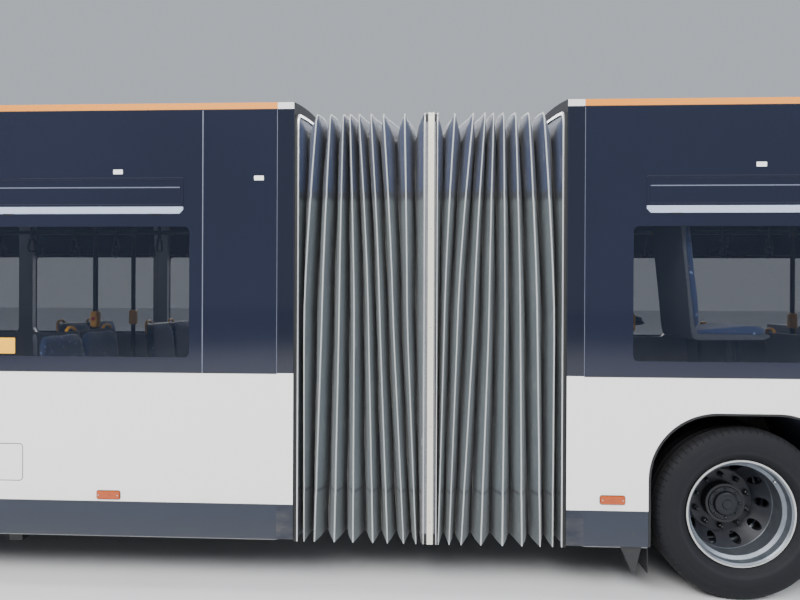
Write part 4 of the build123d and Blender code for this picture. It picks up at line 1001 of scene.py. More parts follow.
make_bellows("bellows_rear_cloth", "bellows_rear", REAR_FOLDS, REAR_FACE + 0.006, JOINT - FRAME_HALF - 0.001)
make_bellows("bellows_front_cloth", "bellows_front", FRONT_FOLDS, JOINT + FRAME_HALF + 0.001,
             FRONT_FACE - 0.006)


def hoop_strip(form, x0, x1, out, back, material):
    """A band over the body along a hoop: proud of it by out, reaching in to back."""
    loops = []
    for x, depth in ((x0, back), (x0, -out + 0.001), (x0 + 0.001, -out), (x1 - 0.001, -out),
                     (x1, -out + 0.001), (x1, back)):
        loops.append([(x, y, max(z, HOOP_FOOT)) for y, z in hoop_line(depth)])
    flipped = [list(points) for points in zip(*loops)]
    form.solid(flipped, material)


def make_clamps():
    for end, face, way in (("rear", REAR_FACE, 1), ("front", FRONT_FACE, -1)):
        form = Form()
        hoop_strip(form, *sorted((face - way * 0.002, face + way * 0.017)), 0.002, 0.05, "rubber")
        hoop_strip(form, *sorted((face + way * 0.017, face + way * 0.025)), 0.0035, 0.010, "aluminium")
        form.make(end + "_clamp_frame", SECTIONS[end])


# Each strip of the middle hoop: from, to, how proud, material
MIDDLE_STRIPS = ((-0.0392, -0.0332, 0.0040, "aluminium"), (-0.0335, -0.0160, -0.0020, "rubber"),
                 (-0.0165, -0.0062, 0.0060, "beige"), (-0.0064, 0.0064, 0.0042, "beige"),
                 (0.0062, 0.0165, 0.0060, "beige"), (0.0160, 0.0315, -0.0020, "rubber"),
                 (0.0312, 0.0370, 0.0040, "aluminium"))


def make_middle_strips():
    """The middle hoop's edge: a grooved pale moulding between two slim clamp beads."""
    form = Form()
    for x0, x1, out, material in MIDDLE_STRIPS:
        hoop_strip(form, STRIP_X + x0, STRIP_X + x1, out, 0.03, material)
    for side in (-1, 1):
        place = side_place(side)
        for z in (0.42, 0.95, 1.5, 2.05, 2.55):
            form.lathe(place.at(along(side, STRIP_X), z, -0.0035), place.w,
                       [(-0.004, 0.0), (-0.004, 0.0035), (0.0, 0.0035), (0.001, 0.0)], "steel", 10)
    form.make("middle_frame_strips", "middle")


make_clamps()
make_middle_strips()


# Side glass: dark panes glued flush, a black printed border round a clear field, hoppers and seams
CLEAR_LOW = BELT + 0.085
CLEAR_TOP = 2.062
HOPPER = (2.134, 2.338)
HOPPER_STRIP = 0.040
HOPPER_IN = 0.107
PANE_DEPTH = (-0.008, 0.0)
CLEAR_IN = 0.072
JOINT_CLEAR_IN = 0.26
JOINT_HOPPER_SHIFT = 0.222


def add_pane(form, place, box, clear, glass):
    """A flush pane: all black, or a black border round a field of the given glass."""
    w0, w1 = PANE_DEPTH
    outside = ring(*box, 0.005)
    edge = 0.0012
    if clear is None:
        return form.plate(place, outside, w0, w1, "frit", edge)
    hole = ring(*clear)
    loops = raised(place, (hole, w0), (outside, w0), (outside, w1 - edge), (inset(outside, edge), w1),
                   (hole, w1))
    return form.loft(loops, "frit", start=glass, end=glass)


def add_hopper(form, place, u0, u1):
    """A tilting top window on the pane: slim frame, fine line, and a pale strip with two catches."""
    low, high = HOPPER
    frame_line = ring(u0, low + HOPPER_STRIP, u1, high, 0.012)
    form.band(place, frame_line, inset(frame_line, 0.014), -0.001, 0.0030, "frit", 0.0010)
    form.slab(place, u0 + 0.02, high - 0.058, u1 - 0.02, high - 0.052, 0.0, 0.0012,
              "seam_light", 0.002, 0.0005)
    cut = 0.022
    strip = [(u0 + cut, low), (u1 - cut, low), (u1, low + cut), (u1, low + HOPPER_STRIP),
             (u0, low + HOPPER_STRIP), (u0, low + cut)]
    form.plate(place, strip, -0.001, 0.0055, "strip", 0.002)
    for u in (u0 + 0.16, u1 - 0.16):
        form.slab(place, u - 0.03, low - 0.006, u + 0.03, low + 0.004, -0.001, 0.0045, "gloss", 0.003, 0.0012)


def add_window(form, extra, place, side, low, high):
    """One flush pane; a wide window also gets a clear field, a hopper and a rail inside."""
    u0, u1 = span(side, low.x, high.x)
    clear = None
    if low.z < 2 and u1 - u0 > 0.55:
        at_joint = abs(low.x - FRONT_WALL[0]) < 0.01
        at_left, at_right = at_joint and side < 0, at_joint and side > 0
        left = u0 + (JOINT_CLEAR_IN if at_left else CLEAR_IN)
        right = u1 - (JOINT_CLEAR_IN if at_right else CLEAR_IN)
        clear = (left, CLEAR_LOW, right, CLEAR_TOP, 0.03)
        add_hopper(extra, place, u0 + HOPPER_IN + (JOINT_HOPPER_SHIFT if at_left else 0),
                   u1 - HOPPER_IN - (JOINT_HOPPER_SHIFT if at_right else 0))
        rail = [place.at(u, CLEAR_TOP + 0.02, -0.075) for u in (left + 0.02, right - 0.02)]
        extra.tube(rail, 0.006, "dark_steel")
    add_pane(form, place, (u0, low.z, u1, high.z), clear, "clear")
    seam = 0.0030
    for u in (u0 - 0.004, u1 + 0.004):
        extra.slab(place, u - seam, low.z + 0.004, u + seam, high.z - 0.004, -0.006, -0.0004,
                   "seam_light", 0.001, 0.0004)


def make_side_glass(end):
    """The flush side panes; gives back the bowed panes at the end of the bus."""
    body = SECTIONS[end]
    node = end + "_glazing"
    form = Form()
    extra = Form()
    curved = []
    for solid in solids_of(node):
        low, high = solid[:2]
        if high.y - low.y > 0.02:
            curved.append(solid)
            continue
        side = -1 if low.y < 0 else 1
        add_window(form, extra, side_place(side), side, low, high)
    glass = form.make(end + "_side_glass", body)
    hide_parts(node)
    extra.make(end + "_glass_fittings", body)
    return curved


CURVED = {end: make_side_glass(end) for end in SECTIONS}


# Lines, flaps and stickers along the sides
SEAMS = {"front": (2.62, 5.02), "rear": (-4.62, -7.20, -8.10)}
FLAPS = {"front": [(4.62, 0.60, 4.96, 0.86), (2.70, 0.60, 2.98, 0.80)],
         "rear": [(-3.172, 0.612, -2.862, 0.826), (-7.72, 0.60, -7.28, 1.02)]}
ARCH_GAP = 0.527


def add_line(form, place, u0, v0, u1, v1, back, proud, material="seam"):
    form.slab(place, u0, v0, u1, v1, back, proud, material, 0.0005, 0.0002)


def add_level_lines(form, place, side, stretch):
    """Lines at the belt, the glass's top and the skirt's top along a stretch of wall; arches stay free."""
    u0, u1 = span(side, *stretch)
    add_line(form, place, u0, BELT - 0.0045, u1, BELT + 0.0005, -0.002, 0.0006)
    add_line(form, place, u0, GLASS_TOP - 0.003, u1, GLASS_TOP + 0.001, -0.004, 0.0006, "rubber")
    start, stop = stretch
    axles = sorted(x for x in AXLES if start < x < stop)
    cuts = [start] + [x + way * ARCH_GAP for x in axles for way in (-1, 1)] + [stop]
    for a, b in zip(cuts[::2], cuts[1::2]):
        u0, u1 = span(side, a, b)
        add_line(form, place, u0, SKIRT - 0.0035, u1, SKIRT + 0.0005, -0.002, 0.0006)


def add_flap(form, place, side, x0, z0, x1, z1):
    """A flap in the skirt's wall, drawn as a line round it with a lock."""
    u0, u1 = span(side, x0, x1)
    outline = ring(u0, z0, u1, z1, 0.022)
    form.band(place, outline, inset(outline, 0.0042), -0.001, 0.0005, "seam", 0.0002)
    form.lathe(place.at(u0 + 0.035, (z0 + z1) / 2, 0.0), place.w,
               [(-0.001, 0.0), (-0.001, 0.011), (0.0008, 0.011), (0.0012, 0.0)], "seam", 16)


def make_side_lines():
    for end, (start, stop) in WALLS.items():
        form = Form()
        for side in (-1, 1):
            place = side_place(side)
            doors = sorted(x for x in DOORS if start < x < stop) if side < 0 else []
            edges = [start] + [x + way * DOOR_HALF for x in doors for way in (-1, 1)] + [stop]
            for stretch in zip(edges[::2], edges[1::2]):
                add_level_lines(form, place, side, stretch)
            for x in SEAMS[end]:
                if all(abs(x - d) >= 0.66 for d in doors):
                    u = along(side, x)
                    add_line(form, place, u - 0.0018, 0.315, u + 0.0018, BELT - 0.005, -0.002, 0.0005)
            for flap in FLAPS[end]:
                if all(flap[0] >= d + 0.64 or flap[2] <= d - 0.64 for d in doors):
                    add_flap(form, place, side, *flap)
        form.make(end + "_side_lines", SECTIONS[end])


def make_stickers():
    """Blank stickers on the right side."""
    marks = Form()
    for x, z in ((-2.313, 2.372), (-1.505, 2.334)):
        marks.slab(RIGHT_SIDE, x - 0.0275, z - 0.013, x + 0.0275, z + 0.013, 0.0, 0.0006,
                   "white", 0.003, 0.0003)
    marks.slab(RIGHT_SIDE, -3.075, 1.338, -2.911, 1.428, 0.0, 0.0006, "yellow", 0.004, 0.0003)
    marks.make("rear_stickers", "rear_section")
    marks = Form()
    marks.slab(RIGHT_SIDE, 1.215, 2.383, 1.270, 2.409, 0.0, 0.0006, "white", 0.003, 0.0003)
    marks.make("front_stickers", "front_section")


make_side_lines()
make_stickers()


# Lamps: side markers on their bases
MARKERS = {"front": [(0.4565, 0.565), (5.385, 0.535), (6.985, 0.535)],
           "rear": [(-2.362, 0.541), (-4.820, 0.535), (-6.480, 0.535), (-8.465, 0.535)]}


def add_marker(form, place, u, v):
    form.slab(place, u - 0.070, v - 0.026, u + 0.070, v + 0.026, 0.0, 0.0022, "black", 0.012, 0.001)
    lens = ring(u - 0.0675, v - 0.023, u + 0.0675, v + 0.023, 0.010)
    form.plate(place, lens, 0.002, 0.0085, "orange_lens", 0.003)
    form.lathe(place.at(u, v, 0.0084), place.w,
               [(0.0, 0.0115), (0.0014, 0.0110), (0.0014, 0.0088), (0.0005, 0.0078), (0.0005, 0.0)],
               "orange_lens", 24)
    for way in (-1, 1):
        form.lathe(place.at(u + way * 0.055, v, 0.0080), place.w,
                   [(0.0, 0.004), (0.0012, 0.0035), (0.0012, 0.0)], "steel", 10)


def make_markers(end):
    form = Form()
    for x, z in MARKERS[end]:
        for side in (-1, 1):
            add_marker(form, side_place(side), along(side, x), z)
    made = form.make(end + "_marker_lamps", SECTIONS[end])
    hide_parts(end + "_lamps")


for end in SECTIONS:
    make_markers(end)


# Wheels: ribbed tyres with a moulded wall, wheel nuts and hub caps
TYRE_WALL = [(0.093, 0.2880), (0.0935, 0.3000), (0.1000, 0.3060), (0.1085, 0.3130), (0.1200, 0.3240),
             (0.1290, 0.3370), (0.1345, 0.3520), (0.1368, 0.3680), (0.1372, 0.3840), (0.1370, 0.3990),
             (0.1366, 0.4000), (0.1362, 0.4120), (0.1340, 0.4280), (0.1325, 0.4310), (0.1300, 0.4420),
             (0.1235, 0.4560), (0.1150, 0.4655), (0.1050, 0.4716), (0.0990, 0.4740)]
TYRE_GROOVES = (0.079, 0.030)
TYRE_PLACES = {1: (1.055,), 2: (1.100, 0.790), 3: (1.100, 0.790)}
NUT_CIRCLE = 0.1520
CAP_BOLT_CIRCLE = 0.083
VALVE_CIRCLE = 0.262
WHEEL_NUT = [(0.0, 0.019), (0.004, 0.019), (0.004, 0.0155), (0.024, 0.0155), (0.028, 0.010), (0.040, 0.0095),
             (0.042, 0.007), (0.042, 0.0)]
HUB_CAP = [(0.0, 0.098), (0.006, 0.094), (0.006, 0.072), (0.022, 0.066), (0.026, 0.058), (0.026, 0.030),
           (0.031, 0.026), (0.031, 0.0)]
CAP_BOLT = [(0.0, 0.0075), (0.007, 0.0075), (0.009, 0.005), (0.009, 0.0)]
RIM_LIP = [(-0.010, 0.2862), (0.0008, 0.2880), (0.0020, 0.2925), (0.0012, 0.2978), (-0.004, 0.2990),
           (-0.010, 0.2988)]


def tyre_mesh():
    half = list(TYRE_WALL)
    for centre in TYRE_GROOVES:
        r = 0.4765 + 0.002 * (1 - centre / 0.1)
        half += [(centre + 0.0065, r), (centre + 0.0050, r - 0.013), (centre - 0.0050, r - 0.013),
                 (centre - 0.0065, r)]
    form = Form("tyre")
    form.lathe((0, 0, 0), (0, 1, 0), half + [(-y, r) for y, r in reversed(half)], 0, 128, ends_meet=True)
    return form.mesh("tyre", 24)


def off_axle(radius, angle, y):
    """A place at a radius and an angle about the axle, y to the side."""
    return Vector((math.cos(angle) * radius, y, math.sin(angle) * radius))


def make_wheel_fittings(number, body, side, outer_y):
    """Wheel nuts, the hub cap and its bolts, the rim's bright lip and the valve."""
    form = Form()
    out = Vector((0, side, 0))
    face, hub_end = (1.210, 1.240) if number == 1 else (0.959, 1.025)
    centre = Vector((AXLES[number - 1], 0, AXLE_Z))
    for a in angles(10, 0.5):
        form.lathe(centre + off_axle(NUT_CIRCLE, a, side * face), out, WHEEL_NUT, "dark_steel", 6)
    hub = centre + Vector((0, side * hub_end, 0))
    form.lathe(hub, out, HUB_CAP, "dark_steel", 40)
    for a in angles(8):
        form.lathe(hub + off_axle(CAP_BOLT_CIRCLE, a, side * 0.006), out, CAP_BOLT, "dark_steel", 6)
    form.lathe(centre + Vector((0, side * (outer_y + 0.105), 0)), out, RIM_LIP, "steel", 96)
    tip = centre + off_axle(VALVE_CIRCLE, 0.7, side * (outer_y + 0.02))
    form.tube([tip, tip + Vector((0, side * 0.05, 0))], 0.005, "steel", 8)
    form.make(body + "_fittings", body)


def make_wheels():
    shared = tyre_mesh()
    for number, ys in TYRE_PLACES.items():
        for name, side in (("left", 1), ("right", -1)):
            body = "wheel_%d_%s" % (number, name)
            node = body + ("_tyre" if number == 1 else "_tyres")
            for i, y in enumerate(ys):
                tyre = add_object("%s_tyre_%d" % (body, i + 1), shared)
                tyre.matrix_world = Matrix.Translation((AXLES[number - 1], side * y, AXLE_Z))
                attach(tyre, body)
                if i == 0:
                    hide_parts(node)
            make_wheel_fittings(number, body, side, ys[0])


make_wheels()


# Wheel arches: dark lining, a rubber lip, and mud flaps
ARCH_HALF = 0.530
ARCH_TOP = 1.045
ARCH_RADIUS = 0.370
ARCH_STEPS = 10


def arch_line(grow):
    """The arch in side view (x, z) from its rear foot over the wheel to its front foot."""
    half, top, radius = ARCH_HALF + grow, ARCH_TOP + grow, ARCH_RADIUS + grow
    points = [(-half, 0.312), (-half, top - radius)]
    for i in range(1, ARCH_STEPS + 1):
        a = math.pi / 2 * i / ARCH_STEPS
        points.append((-half + radius * (1 - math.cos(a)), top - radius * (1 - math.sin(a))))
    return points + [(-x, z) for x, z in reversed(points)]


def add_arch(form, axle_x, side):
    """A wheel arch's lining, rubber lip and mud flap behind; the first axle has a flap ahead too."""
    for outside, inside, stations, material in ((-0.0015, -0.0055, (0.600, 0.8, 1.0, 1.252), "liner"),
                                                (-0.0005, -0.0120, (1.250, 1.2735, 1.2765), "rubber")):
        line = arch_line(outside) + arch_line(inside)[::-1]
        form.solid([[(axle_x + x, side * y, z) for x, z in line] for y in stations], material)
    for way in ((-1, 1) if axle_x == AXLES[0] else (-1,)):
        x = axle_x + way * 0.520
        form.box((x - 0.003, side * 0.93, 0.150), (x + 0.003, side * 1.235, 0.330), "rubber", 0.002)


def make_arches():
    for end, axles in (("front", AXLES[:2]), ("rear", AXLES[2:])):
        form = Form()
        for axle_x in axles:
            for side in (-1, 1):
                add_arch(form, axle_x, side)
        form.make(end + "_arch_linings", SECTIONS[end])


def make_flap_brackets():
    """A small bracket under the skirt behind the second axle, with a mark above it."""
    form = Form()
    for side in (-1, 1):
        place = side_place(side)
        points = [(0.500, 0.314), (0.620, 0.314), (0.584, 0.160), (0.568, 0.162)]
        outline = [(along(side, x), z) for x, z in points]
        if side < 0:
            outline.reverse()
        form.plate(place, outline, -0.030, -0.012, "black", 0.003)
        mark = [(along(side, x), z) for x, z in ((0.556, 0.366), (0.584, 0.366), (0.570, 0.390))]
        if side > 0:
            mark.reverse()
        form.plate(place, mark, -0.001, 0.0006, "seam", 0.0002)
    form.make("front_flap_brackets", "front_section")


make_arches()
make_flap_brackets()


# The bowed ends: a working surface that follows the skin of the nose or the tail
class Skin:
    """u across the bus, v up, w out of the skin; way is 1 for the nose and -1 for the tail."""

    def __init__(self, way, *nodes):
        self.way = way
        points = []
        faces = []
        for node in nodes:
            data = NODES[node].data
            base = len(points)
            points.extend(v.co.copy() for v in data.vertices)
            faces.extend([base + i for i in face.vertices] for face in data.polygons)
        self.tree = BVHTree.FromPolygons(points, faces)

    def at(self, u, v, w=0.0):
        start = Vector((self.way * 12, self.way * u, v))
        hit, normal = self.tree.ray_cast(start, Vector((-self.way, 0, 0)))[:2]
        if normal.x * self.way < 0:
            normal = -normal
        return hit + normal * w


def finer(outline, step=0.05):
    """The same outline with more points along its straight stretches."""
    out = []
    for (u0, v0), (u1, v1) in zip(outline, outline[1:] + outline[:1]):
        count = max(1, math.ceil(math.hypot(u1 - u0, v1 - v0) / step))
        out.extend((u0 + (u1 - u0) * i / count, v0 + (v1 - v0) * i / count) for i in range(count))
    return out


RIBBON_BACK = -0.002
LEVEL_STEP = 0.05


def ribbon(form, skin, path, width, material, proud=0.0008, closed=False):
    """A thin raised line along a path (u, v) on a skin."""
    loops = []
    last = len(path) - 1
    for i, (u, v) in enumerate(path):
        a = path[i - 1] if closed or i else path[0]
        b = path[(i + 1) % len(path)] if closed or i < last else path[last]
        length = math.hypot(b[0] - a[0], b[1] - a[1])
        nu = -(b[1] - a[1]) / length * width / 2
        nv = (b[0] - a[0]) / length * width / 2
        loops.append([skin.at(u - nu, v - nv, RIBBON_BACK), skin.at(u - nu, v - nv, proud),
                      skin.at(u + nu, v + nv, proud), skin.at(u + nu, v + nv, RIBBON_BACK)])
    end = None if closed else material
    form.loft(loops, material, start=end, end=end, ends_meet=closed)


def level(v, half):
    """A level path across an end."""
    count = math.ceil(2 * half / LEVEL_STEP)
    return [(-half + 2 * half * i / count, v) for i in range(count + 1)]


NOSE_SKIN = Skin(1, "front_end", "front_glazing", "front_lamps")
TAIL_SKIN = Skin(-1, "rear_end", "rear_glazing", "rear_lamps", "engine_hatch")
SCREEN = (-1.145, 1.110, 1.145, 2.470, 0.110)
SIGN = (-0.950, 2.505, 0.950, 2.695, 0.060)
REAR_WINDOW = (-0.980, 1.710, 0.980, 2.470, 0.090)
LAMP_AT = (0.890, 0.700)
TAIL_LAMP_AT = (1.085, 0.900)


def add_gasket(form, skin, box, proud=0.0012):
    """A rubber seal round a bowed pane or lamp."""
    ribbon(form, skin, finer(ring(*box, 8)), 0.006, "rubber", proud, closed=True)


def frit_band(form, skin, box, border):
    """The black printed border of a bowed pane."""
    u0, v0, u1, v1, r = box
    line = finer(ring(u0 + 0.003, v0 + 0.003, u1 - 0.003, v1 - 0.003, r, 8))
    form.band(skin, line, inset(line, border), 0.0003, 0.0009, "frit", 0.0001)


def make_nose_glass():
    panes = sorted(CURVED["front"], key=lambda solid: solid[0].z)
    for name, solid in zip(("windscreen", "sign_glass"), panes):
        copy_solid(solid, name, "pane", "front_section")
    form = Form()
    frit_band(form, NOSE_SKIN, SCREEN, 0.052)
    frit_band(form, NOSE_SKIN, SIGN, 0.014)
    add_gasket(form, NOSE_SKIN, SCREEN)
    add_gasket(form, NOSE_SKIN, SIGN)
    form.box((8.640, -0.920, 2.512), (8.716, 0.920, 2.686), "black", 0.006)
    for row in range(16):
        z = 2.524 + row * 0.010
        form.box((8.715, -0.900, z), (8.7175, 0.900, z + 0.0045), "amber", 0.0008)
    form.make("nose_glass_trim", "front_section")


def add_reflector(form, at, out, radius, bulb):
    """A bowl with a lens at its middle and a dark ring round it."""
    bowl = [(0.030, 1.0), (0.020, 0.93), (0.004, 0.70), (-0.006, 0.40), (-0.008, 0.0)]
    lens = [(-0.006, 0.44), (0.008, 0.42), (0.019, 0.26), (0.022, 0.0)]
    rim = [(0.026, radius + 0.008), (0.034, radius + 0.006), (0.034, radius), (0.022, radius * 0.985)]
    form.lathe(at, out, [(depth, radius * share) for depth, share in bowl], "steel", 36)
    form.lathe(at, out, rim, "gloss", 36)
    form.lathe(at, out, [(depth, radius * share) for depth, share in lens], bulb, 28)


def add_head_lamp(form, side):
    """A housing with two beams, a turn signal and a pale line of light behind the cover."""
    u, v = side * LAMP_AT[0], LAMP_AT[1]
    cover = (u - 0.200, v - 0.095, u + 0.200, v + 0.095, 0.080)
    out = Vector((1, side * 0.12, 0))
    frit_band(form, NOSE_SKIN, cover, 0.030)
    form.box((8.800, u - 0.165, v - 0.080), (8.846, u + 0.165, v + 0.080), "gloss", 0.006, 0.02)
    for offset in (-0.092, 0.018):
        add_reflector(form, NOSE_SKIN.at(u + side * offset, v + 0.004, -0.048), out, 0.050, "lamp_glass")
    at = NOSE_SKIN.at(u + side * 0.112, v + 0.002, -0.055)
    add_reflector(form, at, Vector((1, side * 0.55, 0)), 0.030, "orange_lens")
    path = [NOSE_SKIN.at(u + side * s, v - 0.058 + 0.010 * (s / 0.15) ** 2, -0.030)
            for s in (-0.150, -0.100, -0.050, 0.0, 0.050, 0.100)]
    form.tube(path, 0.0055, "white", 8)
    add_gasket(form, NOSE_SKIN, cover)
    fog = NOSE_SKIN.at(side * 0.930, 0.405, -0.004)
    form.lathe(fog, out, [(-0.020, 0.052), (0.006, 0.052), (0.010, 0.049), (0.010, 0.043), (0.003, 0.041)],
               "gloss", 36)
    form.lathe(fog, out, [(0.003, 0.042), (0.007, 0.030), (0.009, 0.0)], "lamp_glass", 36)


def copy_lamp_covers(node, name, material, body):
    """The large lamp covers of a lamps' node, taller than the markers, as pieces of their own."""
    covers = [solid for solid in solids_of(node) if solid[1].z - solid[0].z > 0.12]
    for number, solid in enumerate(covers, 1):
        copy_solid(solid, "%s_%d" % (name, number), material, body)


def make_head_lamps():
    copy_lamp_covers("front_lamps", "head_lamp_cover", "clear_lens", "front_section")
    bowls = Form()
    for side in (-1, 1):
        add_head_lamp(bowls, side)
    bowls.make("head_lamp_bowls", "front_section")


TOWING_CAP = [(0.0, 0.0), (0.0, 0.0205), (0.0105, 0.0205), (0.0105, 0.0)]


def add_mirror_and_wiper(form, side):
    """The mirror's two glasses and its small orange lamp, and the wiper's blade and cap."""
    place = Place((8.8100, side * 1.380, 2.150), (0, -1, 0), (0, 0, 1))
    for v0, v1 in ((-0.060, 0.185), (-0.185, -0.072)):
        form.slab(place, -0.100, v0, 0.100, v1, -0.001, 0.0022, "mirror", 0.02, 0.0012)
    form.lathe((8.9190, side * 1.380, 2.265), (1, 0, 0), [(0.0, 0.012), (0.002, 0.012), (0.003, 0.0)],
               "orange_lens", 16)
    form.tube([(8.962, side * 0.300, 1.165), (8.952, side * 0.560, 1.253), (8.924, side * 0.985, 1.391)],
              0.0042, "rubber", 6)
    form.lathe((9.008, side * 0.120, 1.075), (1, 0, 0),
               [(0.0, 0.019), (0.010, 0.018), (0.014, 0.012), (0.014, 0.0)], "gloss", 24)


def make_nose_details():
    form = Form()
    ribbon(form, NOSE_SKIN, level(SKIRT, 1.225), 0.004, "seam")
    flap = finer(ring(-0.600, 0.540, 0.600, 1.060, 0.040))
    ribbon(form, NOSE_SKIN, flap, 0.0045, "seam", closed=True)
    for u in (-0.36, 0.36):
        form.lathe(NOSE_SKIN.at(u, 0.985), (1, 0, 0), [(-0.002, 0.016), (0.001, 0.016), (0.0016, 0.0)],
                   "seam", 20)
    form.box((8.905, -0.560, 0.548), (8.915, 0.560, 0.745), "black", 0.002)
    for i in range(36):
        y = -0.540 + i * 0.0309
        form.box((8.914, y - 0.0022, 0.550), (8.919, y + 0.0022, 0.744), "dark_steel", 0.0008)
    for u in (-0.62, 0.62):
        path = [(u, 0.318 + 0.0187 * i) for i in range(11)]
        ribbon(form, NOSE_SKIN, path, 0.004, "seam")
    form.slab(FRONT, -0.268, 0.348, 0.268, 0.468, 8.930, 8.985, "black", 0.008, 0.004)
    form.slab(FRONT, -0.260, 0.353, 0.260, 0.463, 8.980, 8.9875, "white", 0.006, 0.001)
    form.lathe((8.960, 0.55, 0.40), (1, 0, 0), TOWING_CAP, "black", 24)
    for side in (-1, 1):
        add_mirror_and_wiper(form, side)
    form.make("nose_details", "front_section")


def add_tail_side(form, side):
    """One side of the tail: its lamps, the lines between panels, the high lamp and the low reflector."""
    u, v = side * TAIL_LAMP_AT[0], TAIL_LAMP_AT[1]
    add_gasket(form, TAIL_SKIN, (u - 0.065, v - 0.260, u + 0.065, v + 0.260, 0.050), 0.0014)
    out = (-1, -side * 0.05, 0)
    lens = [(-0.001, 0.047), (0.003, 0.046), (0.0065, 0.040), (0.0075, 0.020), (0.0078, 0.0)]
    rim = [(-0.001, 0.050), (0.0035, 0.050), (0.0040, 0.048), (0.0030, 0.0465)]
    for z, material in zip(TAIL_LAMPS, ("orange_lens", "red_lens", "red_lens", "clear_lens")):
        at = TAIL_SKIN.at(u, z, 0.0)
        form.lathe(at, out, lens, material, 36)
        form.lathe(at, out, rim, "gloss", 36)
    for path in ([(side * 0.975, 1.175 + 0.05 * i) for i in range(11)],
                 [(side * 0.975, 0.320 + 0.0185 * i) for i in range(11)],
                 [(side * (0.945 + 0.03 * i), SKIRT) for i in range(10)]):
        ribbon(form, TAIL_SKIN, path, 0.004, "seam")
    top = TAIL_SKIN.at(side * 1.080, 2.600, 0.0)
    form.lathe(top, (-1, 0, 0), [(-0.002, 0.026), (0.006, 0.026), (0.011, 0.020), (0.012, 0.0)],
               "red_lens", 28)
    form.slab(BACK, side * 0.78 - 0.045, 0.342, side * 0.78 + 0.045, 0.382, 8.955, 8.988, "red_lens",
              0.006, 0.003)


def make_tail():
    copy_solid(CURVED["rear"][0], "rear_window", "pane", "rear_section")
    copy_lamp_covers("rear_lamps", "tail_lamp", "tail_lens", "rear_section")
    form = Form()
    frit_band(form, TAIL_SKIN, REAR_WINDOW, 0.060)
    add_gasket(form, TAIL_SKIN, REAR_WINDOW)
    for side in (-1, 1):
        add_tail_side(form, side)
    ribbon(form, TAIL_SKIN, level(1.680, 1.225), 0.004, "seam")
    brake = finer(ring(-0.240, 2.545, 0.240, 2.575, 0.012, 4), 0.04)
    line = inset(brake, 0)
    form.solid(raised(TAIL_SKIN, (line, -0.001), (line, 0.006), (inset(brake, 0.002), 0.008)), "red_lens")
    form.slab(BACK, -0.268, 0.346, 0.268, 0.442, 8.950, 8.989, "black", 0.008, 0.004)
    form.slab(BACK, -0.260, 0.350, 0.260, 0.438, 8.980, 8.9915, "white", 0.006, 0.001)
    form.lathe((-8.952, -0.55, 0.40), (-1, 0, 0), TOWING_CAP, "black", 24)
    form.make("tail_details", "rear_section")


def make_hatch_backing():
    """The dark grid behind the engine hatch's louvres, its two catches and its handle."""
    hatch = Form()
    hatch.box((-8.936, -0.800, 0.535), (-8.928, 0.800, 0.995), "chassis", 0.002)
    for i in range(41):
        y = -0.780 + i * 0.039
        hatch.box((-8.944, y - 0.0018, 0.548), (-8.936, y + 0.0018, 0.985), "dark_steel", 0.0006)
    for u in (-0.80, 0.80):
        hatch.slab(BACK, u - 0.060, 1.030, u + 0.060, 1.062, 8.978, 8.9880, "gloss", 0.008, 0.003)
    hatch.slab(BACK, -0.10, 0.480, 0.10, 0.512, 8.978, 8.9900, "gloss", 0.010, 0.003)
    hatch.make("engine_hatch_backing", "hatch")


make_nose_glass()
make_head_lamps()
make_nose_details()
make_tail()
make_hatch_backing()


# Doors: each leaf in black with a clear pane, rubber edges, an inside handle, and its brackets and pins
LEAF_OUTER = -1.272
LEAF_DEPTH = 0.040
LEAF_INNER = LEAF_OUTER + LEAF_DEPTH
LEAF_Z = (0.383, 2.4305)
LEAF_BORDER = 0.052
PIN_Y = -1.2013
TRACK_Y = -1.190
BRACKET = 0.012


def add_pin(form, x, y, z0, z1, radius):
    profile = [(0.0, 0.0), (0.0, radius), (z1 - z0, radius), (z1 - z0, 0.0)]
    form.lathe((x, y, z0), (0, 0, 1), profile, "steel", 20)


